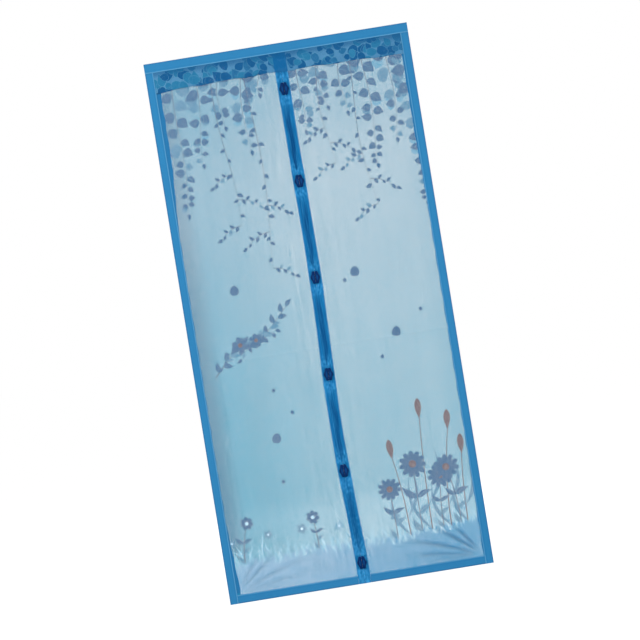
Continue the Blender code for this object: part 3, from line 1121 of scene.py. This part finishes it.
def buildHeader():
    rand = random.Random(header["seed"])
    edge = innerX - screen["gap"]
    columns = 100
    levels = [k / 12 for k in range(12)] + [0.985, 0.994, 0.997, 1, 1.003, 1.006, 1.015]
    levels += [1 + k / 12 for k in range(1, 13)]
    across = [-edge + 2 * edge * k / columns for k in range(columns + 1)]
    outline = [(x, 0) for x in across] + [(edge, t) for t in levels[1:-1]]
    outline += [(x, 2) for x in reversed(across)] + [(-edge, t) for t in reversed(levels[1:-1])]
    grid = [(x, t) for x in across[1:-1] for t in levels[1:-1]]
    motifs = []
    tall = screen["headerDrop"]
    for k in range(header["leaves"]):
        x = -edge + 2 * edge * (k + 0.5) / header["leaves"]
        size = rand.uniform(*header["leafSize"])
        for t in [rand.uniform(*row) for row in header["leafRows"]]:
            shape = petalOutline if rand.random() < 0.6 else leafOutline
            way = rand.uniform(-header["leafTurn"], header["leafTurn"])
            leaf = shape((0, 0), size, size * header["leafBroad"], way)
            middle = [sum(part) / len(leaf) for part in zip(*leaf)]
            ink = rand.choice(("deepLeaf", "deepLeaf", "midLeaf", "tealLeaf"))
            for grow, layer in ((header["rimGrow"], "rim"), (1.0, ink)):
                spots = [[m + (p - m) * grow for p, m in zip(spot, middle)] for spot in leaf]
                motifs.append(([(x + px, t + pz / tall) for px, pz in spots], layer))
    base = makeHeaderMaterial("headerCloth", header["colour"])
    inks = {}
    for ink, colour in header["leafColours"].items():
        inks[ink] = makeHeaderMaterial("header" + ink[0].upper() + ink[1:], colour)
    return printedSheet(
        "headerCloth", outline, grid, motifs, headerPlace, base, inks, "header_band")


print("header")
headerCloth = buildHeader()
print("header faces", len(headerCloth.data.polygons))


# Edge tapes: a flat woven tape folded round each edge of the net
tape = {
    "colour": (0.029, 0.248, 0.515),
    "darker": (0.022, 0.180, 0.410),
    # edge: dark colour of the ribs, and of the painted shade at the fold and beside the seam
    "edge": (0.016, 0.130, 0.320),
    "seam": (0.115, 0.345, 0.570),     # pale selvage along the sewn edge
    "thickness": 0.0006,
    "face": 0.0011,
    "topFront": 0.0029,
    "topBack": 0.0020,
    "seamGrooveShade": 0.34,                      # how dark the painted shade line beside the seam is
    "wearAndShade": 0.0034,                    # how far the painted shade at the fold reaches
    "mottle": 0.4,
    "ribShade": 0.25,
    "foldShade": 0.7,
    "seamShare": 0.75,
    "bump": (0.7, 0.0010),             # strength and depth
    "step": 0.012,
    "wave": 0.00025,
}


def makeTapeMaterial():
    material, tree, shader = startMaterial("blueTape", 0.8)
    cloth = placeGroup(tree, clothGroup)
    ribs = placeGroup(tree, ribGroup, Rib=0.0018, Yarn=0.0008)
    colour = addMix(cloth["Tone"] * tape["mottle"], tape["colour"], tape["darker"])
    colour = addMix(ribs["Tone"] * tape["ribShade"], colour, tape["edge"])
    # Painted shade at the tape's fold and in a line beside the seam
    colour = addMix(painted(tree, "foldTone") * tape["foldShade"], colour, tape["edge"])
    colour = addMix(painted(tree, "seamTone") * tape["seamShare"], colour, tape["seam"])
    shader["Sheen Weight"].default_value = 0.05
    dress(shader, colour, ribs["Height"] * 0.35 + cloth["Wrinkle"] * 0.6, *tape["bump"])
    return material


tapeMaterial = makeTapeMaterial()


# Outer path of a folded tape from the front leaf's edge round the fold to the back leaf's edge,
# as (distance from the fold, depth), then the same path inside by the tape's thickness
def foldedSection(front, back, frontReach, backReach):
    thick = tape["thickness"]
    half = (back - front) / 2
    middle = (back + front) / 2
    shares = (1, 0.985, 0.95, 0.91, 0.87, 0.81, 0.75, 0.69, 0.4, 0.2, 0.08)
    outer = [(frontReach * t, front) for t in shares]
    for angle in (75, 50, 25, 0, -25, -50, -75):
        way = math.radians(angle)
        outer.append((half * (1 - math.cos(way)), middle - half * math.sin(way)))
    outer += [(backReach * t, back) for t in reversed(shares)]
    inner = [(backReach * t, back - thick) for t in (1, 0.6, 0.2, 0.05)] + [(thick, middle)]
    return outer, inner + [(frontReach * t, front + thick) for t in (0.05, 0.2, 0.6, 1)]


def buildTape(name, stops, section, place, node):
    vertices = []
    tones = []
    seams = []
    outer, inner = section(stops[0])
    last = len(outer) - 1
    seamAt = {1: 0.8, 2: 1.0, 3: 0.7, last - 3: 0.7, last - 2: 1.0, last - 1: 0.8}
    for stop in stops:
        outer, inner = section(stop)
        for k, (away, depth) in enumerate(outer + inner):
            lift = tape["wave"] * noiseAt(stop * 17, away * 60, 1.7)
            edge = 0.0004 * noiseAt(stop * 31, depth * 900, 9.1) if away > 0.02 else 0
            sign = -1 if depth < 0 else 1
            vertices.append(place(away + edge, depth + sign * (abs(lift) if away > 0.002 else 0), stop))
            # Painted shade: dark at the fold and in a line beside the seam, full on the inner side
            near = max(math.exp(-(away / tape["wearAndShade"]) ** 2), tape["seamGrooveShade"] if k in (6, last - 6) else 0.0)
            tones.append(near if k <= last else 1.0)
            seams.append(seamAt.get(k, 0.0))
    faces = loftFaces(len(stops), len(outer) + len(inner))
    mesh = makeMesh(name, vertices, faces, [tapeMaterial], sharpAt=50, foldTone=tones, seamTone=seams)
    return addPiece(name, mesh, node)


def stopsBetween(low, high):
    count = max(int(abs(high - low) / tape["step"]), 2)
    return [low + (high - low) * k / count for k in range(count + 1)]


# A foot tape runs from the side tape to the ribbon
def footEnds(side, word):
    low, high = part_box("border_bottom_" + word)
    outer = side * (innerX - screen["gap"])
    return (outer, high.x) if side < 0 else (low.x, outer)


def buildTapes():
    pieces = {}
    face, wide, tall = tape["face"], screen["sideTape"], screen["footTape"]
    pieces["top"] = buildTape(
        "tapeTop", stopsBetween(-halfWidth, halfWidth),
        lambda x: foldedSection(-tape["topFront"], tape["topBack"], screen["topTape"], screen["topTape"]),
        lambda away, deep, x: (x, meshY + deep, topZ - away), "border_top")
    for side, word in bothSides:
        pieces[word] = buildTape(
            "tape" + word.capitalize(), stopsBetween(topZ - screen["foldGap"], bottomZ),
            lambda z: foldedSection(-face, face, wide, wide + facingReach(side, z)),
            lambda away, deep, z: (side * (halfWidth - away), meshY + deep, z), "border_" + word)
        pieces["foot" + word] = buildTape(
            "tapeFoot" + word.capitalize(), stopsBetween(*footEnds(side, word)),
            lambda x: foldedSection(-face, face, tall, tall),
            lambda away, deep, x: (x, meshY + deep, bottomZ + away), "border_bottom_" + word)
    return pieces


print("edge tapes")
tapes = buildTapes()


# Centre ribbon: each half is a strip folded round the opening's edge, gathered at the buttons
ribbon = {
    "colour": (0.0095, 0.180, 0.443),
    # light: colour of the painted highlight on the gathers and edges, and of the thin pale streaks
    "light": (0.049, 0.360, 0.730),
    "dark": (0.0005, 0.053, 0.190),
    "lapTones": (1.0, 0.86, 0.78, 0.74, 0.62, 0.0),   # how dark each stretch between buttons is
    "lapStretch": (0.14, 0.38, 0.84, 0.96),           # where in a stretch the dark comes and goes
    "swing": (0.0016, 0.0060),
    "grain": (120, 85),
    "columns": 16,
    "backColumns": 8,
    "step": 0.0035,
    "pleat": 0.00030,
    "pleatPitch": 0.0058,
    "crumple": 0.0019,
    "edgeGap": 0.00002,
    "streakStretch": (4.0, 1, 0.22),
    "thinStretch": (3.2, 1, 0.14),
    "streakShade": 0.42,
    "bump": (0.8, 0.0014),
}


def makeRibbonMaterial():
    material, tree, shader = startMaterial("blueRibbon", 0.6, 0.04)
    cloth = placeGroup(tree, clothGroup)
    ribs = placeGroup(tree, ribGroup, Rib=0.0010, Yarn=0.0005)
    spot = objectSpot(tree)
    streak = addRange(addNoise(spot, 60.0, 3, ribbon["streakStretch"]), 0.30, 0.70)
    thin = addNoise(spot, 120.0, 2, ribbon["thinStretch"])
    colour = addMix(addRange(thin, 0.52, 0.72, 0.0, 0.42), ribbon["colour"], ribbon["light"])
    # Painted highlight on the gathers, the free end and the edges
    colour = addMix(painted(tree, "gatherTone"), colour, ribbon["light"])
    colour = addMix(streak * ribbon["streakShade"], colour, ribbon["dark"])
    patchy = addRange(thin, 0.34, 0.66, 1.0, 0.70)
    colour = addMix(painted(tree, "overlapTone") * patchy, colour, ribbon["dark"])
    height = ribs["Height"] * 0.2 + streak * 0.8 + thin * 0.5 + cloth["Wrinkle"] * 0.5
    dress(shader, colour, height, *ribbon["bump"])
    return material


ribbonMaterial = makeRibbonMaterial()


# Strong at both sides of a button and down the free end, and stronger towards the foot
def gatherAt(z):
    away = buttonDistance(z)
    low = smooth(topZ - z, 1.2, 1.95)
    gather = smooth(away, 0.022, 0.034) * (1 - smooth(away, 0.045, 0.085 + 0.05 * low))
    if z < buttonZ[-1]:
        return smooth(away, 0.022, 0.032)
    return gather * (0.75 + 0.25 * low)


def lapTone(z):
    above = sum(1 for height in buttonZ if height > z)
    if not 0 < above < len(buttonZ):
        return 0.0
    upper, lower = buttonZ[above - 1], buttonZ[above]
    share = (upper - z) / (upper - lower)
    begin, full, fade, end = ribbon["lapStretch"]
    return ribbon["lapTones"][above - 1] * smooth(share, begin, full) * (1 - smooth(share, fade, end))


# Front surface of a ribbon half, sewn down on the net along its outer edge
def hemFront(side, x, z):
    rise = 0.25 + 0.75 * smooth(abs(x - hemOuter(side, z)), 0.0, 0.0045)
    return hemPlane(side, z) - (closure["face"] + swellAt(z) * closure["stripRoom"]) * rise


# Extra depth of the ribbon's surface towards the viewer, never under a button
def ribbonCrumple(side, x, z):
    clear = smooth(buttonDistance(z), 0.021, 0.032)
    under = smooth(abs(x - centreX(z)), 0.018, 0.022)
    free = max(clear, under)
    wave = math.sin(turn * (x / ribbon["pleatPitch"] + 0.5 * math.sin(z * 21 + side)))
    pleat = ribbon["pleat"] * (1 + wave)
    bunch = abs(noiseAt(x * 110, side * 5, z * 70))
    bunch += 0.5 * abs(noiseAt(x * 230, 2, z * 160))
    return free * (pleat + ribbon["crumple"] * gatherAt(z) * bunch)


# One row of a ribbon half: over the front, round the opening's edge and along the back
def hemRing(side, z, inner):
    outer = hemOuter(side, z)
    front = hemFront(side, inner, z)
    back = hemPlane(side, z) + closure["face"]
    spots = [outer + (inner - outer) * k / ribbon["columns"] for k in range(ribbon["columns"])]
    ring = [(x, hemFront(side, x, z)) for x in spots]
    half = (back - front) / 2
    for angle in (90, 45, 0, -45, -90):
        way = math.radians(angle)
        x = inner + side * min(half, 0.001) * (1 - math.cos(way))
        ring.append((x, (front + back) / 2 - half * math.sin(way)))
    columns = ribbon["backColumns"]
    return ring + [(inner + (outer - inner) * k / columns, back) for k in range(1, columns + 1)]


# How dark the overlap is at a spot of the ribbon
def overlapTone(x, z):
    lens = lensAt(z)
    if lens <= 0:
        return 0.0
    slow, rough = ribbon["swing"]
    away = abs(x - centreX(z) - slow * math.sin(z * 47) - rough * noiseAt(3.3, 1.7, z * 9))
    return 0.92 * (1 - smooth(away, lens * 0.50, lens * 1.15 + 0.0012)) * lapTone(z)


# Painted highlight on the crumpled gathers, the free end and the edges: how light it is there
def gatherTone(side, x, z, inner):
    grain = noiseAt(x * ribbon["grain"][0], 4, z * ribbon["grain"][1])
    isLow = z < buttonZ[-1] + 0.06
    glow = gatherAt(z) * (0.80 + 1.1 * grain if isLow else 0.55 + 1.3 * grain)
    glow = max(glow, 0.9 * smooth(topZ - z, 1.45, 2.05) * grain)
    glow = max(glow, 0.45 * (1 - smooth(abs(x - hemOuter(side, z)), 0.001, 0.004)))
    if side > 0 and lensAt(z) > 0:
        glow = max(glow, 0.6 * (1 - smooth(abs(x - inner), 0.0, 0.0022)))
    return min(max(glow, 0.0), 1.0)


def buildHem(side, word):
    rows = int(screen["height"] / ribbon["step"])
    start = topZ - screen["foldGap"]
    vertices = []
    overlap = []
    gather = []
    for row in range(rows + 1):
        z = start + (bottomZ - start) * row / rows
        inner = hemInner(side, z) - side * (screen["gap"] / 2 - ribbon["edgeGap"])
        ring = hemRing(side, z, inner)
        for k, (x, y) in enumerate(ring):
            edge = smooth(abs(x - hemOuter(side, z)), 0.0, 0.004)
            lift = ribbonCrumple(side, x, z) * edge if k <= ribbon["columns"] + 1 else 0
            vertices.append((x, y - lift, z))
            overlap.append(overlapTone(x, z))
            gather.append(gatherTone(side, x, z, inner))
    width = len(ring)
    faces = []
    for row in range(rows):
        for first in range(row * width, (row + 1) * width - 1):
            faces.append((first, first + 1, first + 1 + width, first + width))
    name = "ribbon" + word.capitalize()
    mesh = makeMesh(name, vertices, faces, [ribbonMaterial], overlapTone=overlap, gatherTone=gather)
    return addPiece(name, mesh, "centre_hem_" + word)


print("centre ribbon")
ribbonLeft = buildHem(-1, "left")
ribbonRight = buildHem(1, "right")


# Lock stitches, as short rounded threads that sink into the cloth at both ends
stitch = {
    "pitch": 0.0046,
    "length": 0.0034,
    "radius": 0.00038,
    "inset": 0.0028,
    "twist": 0.0006,
    "sides": 5,
    "rings": (                 # place along the stitch, width and height of each ring
        (-1, 0.35, -0.6), (-0.75, 0.9, 0.2), (0, 1.0, 0.55), (0.75, 0.9, 0.2), (1, 0.35, -0.6)),
    "lift": 0.0001,
    "ribbonInset": 0.0022,
    "ribbonLift": 0.00025,
    "endGap": (0.002, 0.003, 0.004),   # left free at the ribbon and foot tapes, the sides and the top
    "colour": (0.130, 0.380, 0.620),
    "paler": 1.4,
    "bump": (0.4, 0.0002),
}


def addStitch(vertices, faces, start, end, outward):
    along = (end - start).normalized()
    across = along.cross(outward).normalized()
    middle = (start + end) / 2
    half = (end - start).length / 2
    sides = stitch["sides"]
    base = len(vertices)
    for t, wide, lift in stitch["rings"]:
        for k in range(sides):
            spread = across * math.cos(turn * k / sides) + outward * math.sin(turn * k / sides)
            vertices.append(middle + along * half * t + (spread * wide + outward * lift) * stitch["radius"])
    faces += loftFaces(len(stitch["rings"]), sides, base)


def makeThreadMaterial():
    material, tree, shader = startMaterial("seamThread", 0.6)
    speck = placeGroup(tree, clothGroup)["Speck"]
    pale = tuple(min(1, part * stitch["paler"]) for part in stitch["colour"])
    twist = alongLine(objectSpot(tree), (1, 0.6, 1)) * (turn / stitch["twist"])
    dress(shader, addMix(speck, stitch["colour"], pale), addMath("SINE", twist), *stitch["bump"])
    return material


# One seam: the same row of stitches on the front and on the back of the cloth. spot() gives the
# place at t as (x, z), front() and back() give the depth there.
def buildSeam(name, material, spot, low, high, front, back):
    count = int(abs(high - low) / stitch["pitch"])
    share = stitch["length"] / stitch["pitch"] * (high - low) / count
    vertices = []
    faces = []
    for depth, outward in ((front, Vector((0, -1, 0))), (back, Vector((0, 1, 0)))):
        for k in range(count):
            start = low + (high - low) * k / count
            ends = [Vector((x, depth(x, z), z)) for x, z in (spot(start), spot(start + share))]
            addStitch(vertices, faces, *ends, outward)
    addPiece(name, makeMesh(name, vertices, faces, [material]))


def buildSeams():
    material = makeThreadMaterial()
    inset, lift, face = stitch["inset"], stitch["lift"], tape["face"]
    gap, sideGap, topGap = stitch["endGap"]

    def flatSeam(name, spot, low, high, front, back):
        buildSeam(name, material, spot, low, high,
                  lambda x, z: meshY - front - lift, lambda x, z: meshY + back + lift)

    for side, word in bothSides:
        x = side * (innerX + inset)
        flatSeam("seam" + word.capitalize(), lambda z: (x, z), tapeLowZ, bottomZ + sideGap, face, face)
        buildSeam("ribbonSeam" + word.capitalize(), material,
                  lambda z: (hemOuter(side, z) - side * stitch["ribbonInset"], z),
                  tapeLowZ - 0.001, bottomZ + gap,
                  lambda x, z: hemFront(side, x, z) - stitch["ribbonLift"],
                  lambda x, z: hemPlane(side, z) + closure["face"] + lift)
        low, high = footEnds(side, word)
        flatSeam("footSeam" + word.capitalize(), lambda x: (x, footZ - inset),
                 low + gap, high - gap, face, face)
    edge = halfWidth - topGap
    flatSeam("seamTop", lambda x: (x, tapeLowZ + inset), -edge, edge, tape["topFront"], tape["topBack"])


print("seams")
buildSeams()


# Magnet buttons: two wings each side of the opening, with an oval recess in front
button = {
    "height": 0.049,
    "width": 0.037,
    "depth": 0.0055,
    "lobe": 0.085,
    "centre": 0.0072,
    "crown": 0.72,
    "recess": (0.0036, 0.0105, 0.0009),
    "magnet": (0.0030, 0.0115, 0.0028),
    "points": 56,
    "colour": (0.0002, 0.024, 0.110),
    "recessColour": (0.001, 0.048, 0.185),
    "roughness": 0.42,
    "recessRoughness": 0.45,
    "scuffGrain": (160.0, 4),
    "scuffRange": (0.52, 0.75),
    "scuffShare": (0.5, 0.18),         # how far scuffs change the colour and the roughness
    "scuffPaler": 1.8,
    "fineGrain": (900.0, 2),
    "bump": (0.15, 0.0002),
    "split": 0.00003,
    "nickel": {
        "colours": ((0.42, 0.42, 0.44), (0.58, 0.58, 0.60)),
        "scale": 400.0,
        "stretch": (1, 1, 0.2),
        "metallic": 1.0,
        "bump": (0.2, 0.0001),
    },
    "rubber": {
        "colours": ((0.016, 0.017, 0.020), (0.035, 0.037, 0.042)),
        "scale": 700.0,
        "stretch": None,
        "metallic": 0.0,
        "bump": (0.3, 0.0002),
    },
}


def wingOutline(side):
    edge = button["split"]
    arc = []
    for step in range(button["points"] + 1):
        angle = math.radians(-90 + 180 * step / button["points"])
        swell = 1 + button["lobe"] * math.cos(6 * angle)
        arc.append((swell * math.cos(angle), swell * math.sin(angle)))
    reach = button["width"] / 2 / max(across for across, up in arc)
    rise = button["height"] / 2 / max(up for across, up in arc)
    points = [(max(edge, reach * across), rise * up) for across, up in arc]
    top = points[-1][1]
    straight = button["points"] // 2
    for step in range(1, straight + 1):
        points.append((edge, top - 2 * top * step / (straight + 1)))
    return [(side * across, up) for across, up in points]


def ovalLike(outline, centre, halfAcross, halfUp):
    points = []
    for across, up in outline:
        angle = math.atan2(up / halfUp, (across - centre) / halfAcross)
        points.append((centre + halfAcross * math.cos(angle), halfUp * math.sin(angle)))
    return points


def shrunk(outline, centre, share):
    return [(centre + (across - centre) * share, up * share) for across, up in outline]


def makeWingMesh(side, materials):
    centre = side * button["centre"]
    outline = wingOutline(side)
    gap = screen["gap"]
    depth = button["depth"]
    magnetX, magnetZ, magnetDeep = button["magnet"]
    pocket = ovalLike(outline, centre, magnetX + gap, magnetZ + gap)
    wide, tall, deep = button["recess"]
    rings = [(pocket, -gap - magnetDeep - gap), (pocket, -gap), (shrunk(outline, centre, 0.98), -gap)]
    rings += [(outline, -gap - 0.0004), (outline, -gap - 0.45 * depth)]
    for angle in (18, 36, 54, 72, 90):
        way = math.radians(angle)
        share = button["crown"] + (1 - button["crown"]) * math.cos(way)
        rings.append((shrunk(outline, centre, share), -gap - depth * (0.45 + 0.55 * math.sin(way))))
    rim = ovalLike(outline, centre, wide * 1.25, tall * 1.12)
    recess = ovalLike(outline, centre, wide, tall)
    crown = -gap - depth
    rings += [(rim, crown), (ovalLike(outline, centre, wide * 1.1, tall * 1.05), crown + 0.0001)]
    rings += [(recess, crown + 0.0004), (recess, crown + deep * 0.8)]
    rings += [(ovalLike(outline, centre, wide * 0.7, tall * 0.8), crown + deep)]
    rings += [(ovalLike(outline, centre, wide * 0.3, tall * 0.5), crown + deep * 0.8)]
    vertices = [(across, y, up) for ring, y in rings for across, up in ring]
    faces = loftFaces(len(rings), len(outline))
    faces = [face[::side] for face in faces]
    plain = (len(rings) - 4) * len(outline)
    slots = [0] * plain + [1] * (len(faces) - plain - 2) + [0, 1]
    return makeMesh("wingLeft" if side < 0 else "wingRight", vertices, faces, materials, slots, 42)


def makePlasticMaterial(name, colour, roughness):
    material, tree, shader = startMaterial(name, roughness, 0.08)
    spot = objectSpot(tree)
    scuff = addRange(addNoise(spot, *button["scuffGrain"]), *button["scuffRange"])
    pale = tuple(min(1, part * button["scuffPaler"]) for part in colour)
    tint, rougher = button["scuffShare"]
    feed(shader["Roughness"], scuff * rougher + roughness)
    fine = addNoise(spot, *button["fineGrain"])
    dress(shader, addMix(scuff * tint, colour, pale), fine, *button["bump"])
    return material


# Plain materials of the hidden pieces: a grain between two colours
def makeGrainMaterial(name, roughness, gloss, look):
    material, tree, shader = startMaterial(name, roughness, gloss)
    grain = addNoise(objectSpot(tree), look["scale"], 3, look["stretch"])
    shader["Metallic"].default_value = look["metallic"]
    dress(shader, addMix(grain, *look["colours"]), grain, *look["bump"])
    return material


def buildButtons():
    plastic = makePlasticMaterial("navyPlastic", button["colour"], button["roughness"])
    recess = makePlasticMaterial("navyRecess", button["recessColour"], button["recessRoughness"])
    meshes = {side: makeWingMesh(side, (plastic, recess)) for side in (-1, 1)}
    step = button["height"] / 2
    for number, z in enumerate(buttonZ, 1):
        tilt = math.atan2(centreX(z + step) - centreX(z - step), 2 * step)
        for side, word in bothSides:
            place = Matrix.Translation((centreX(z), meshY - closure["face"], z))
            place @= Matrix.Rotation(tilt, 4, "Y")
            name = f"wing{number}{word.capitalize()}"
            addPiece(name, meshes[side], f"button_{number}_wing_{word}", place)
    magnet = makeGrainMaterial("nickelMagnet", 0.38, 0.5, button["nickel"])
    strip = makeGrainMaterial("rubberMagnetStrip", 0.7, 0.15, button["rubber"])
    for name, node in nodes.items():
        for word, material in (("_plate_", plastic), ("_magnet_", magnet), ("magnet_strip_", strip)):
            if word in name:
                node.data.materials.clear()
                node.data.materials.append(material)


print("buttons")
buildButtons()


# Loop tape on the back, with a low uneven pile
pile = {
    "step": 0.0026,
    "columns": 9,
    "height": 0.00035,
    "colour": (0.022, 0.160, 0.370),
    "litTips": (0.060, 0.270, 0.520),
    "loopScale": 1400,
    "loopRange": (0.1, 0.7),
    "sheen": 0.3,
    "bump": (0.8, 0.0006),
}


def makePileMaterial():
    material, tree, shader = startMaterial("loopPile", 0.95)
    spot = objectSpot(tree)
    loops = addNode(tree, "TexVoronoi", {"Scale": pile["loopScale"], "Vector": spot}, "Distance")
    share = addRange(loops, *pile["loopRange"])
    shader["Sheen Weight"].default_value = pile["sheen"]
    height = addMath("SUBTRACT", 1.0, share)
    # Painted shade: darker between the loops, lighter on their tips
    dress(shader, addMix(share, pile["litTips"], pile["colour"]), height, *pile["bump"])
    return material


def buildLoopTape(node, material):
    low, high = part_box(node)
    lengthwise = high.x - low.x > high.z - low.z
    wide, longSide = sorted((high.x - low.x, high.z - low.z))
    count = int(longSide / pile["step"])
    columns = pile["columns"]
    vertices = []
    for k in range(count + 1):
        along = longSide * k / count
        ring = [(0, low.y)]
        for c in range(columns + 1):
            across = wide * c / columns
            fall = pile["height"] if c in (0, columns) else 0
            fuzz = pile["height"] * abs(noiseAt(along * 420, across * 420, low.x * 7))
            ring.append((across, high.y - fall - fuzz))
        for across, y in ring + [(wide, low.y)]:
            right, up = (along, across) if lengthwise else (across, along)
            vertices.append((low.x + right, y, low.z + up))
    faces = [face if lengthwise else face[::-1] for face in loftFaces(count + 1, columns + 3)]
    name = "loopTape" + node.split("_")[-1].capitalize()
    mesh = makeMesh(name, vertices, faces, [material], sharpAt=60)
    return addPiece(name, mesh, node), wide, longSide


print("loop tapes")
pileMaterial = makePileMaterial()
loopTapes = [buildLoopTape("loop_tape_" + word, pileMaterial) for word in ("top", "left", "right")]

# Length of each foot tape, worked out and not kept
for side, word, net in ((-1, "left", netLeft), (1, "right", netRight)):
    low, high = footEnds(side, word)
    tapes["foot" + word]
    high - low

scene.view_settings.view_transform = "Standard"
print("done")
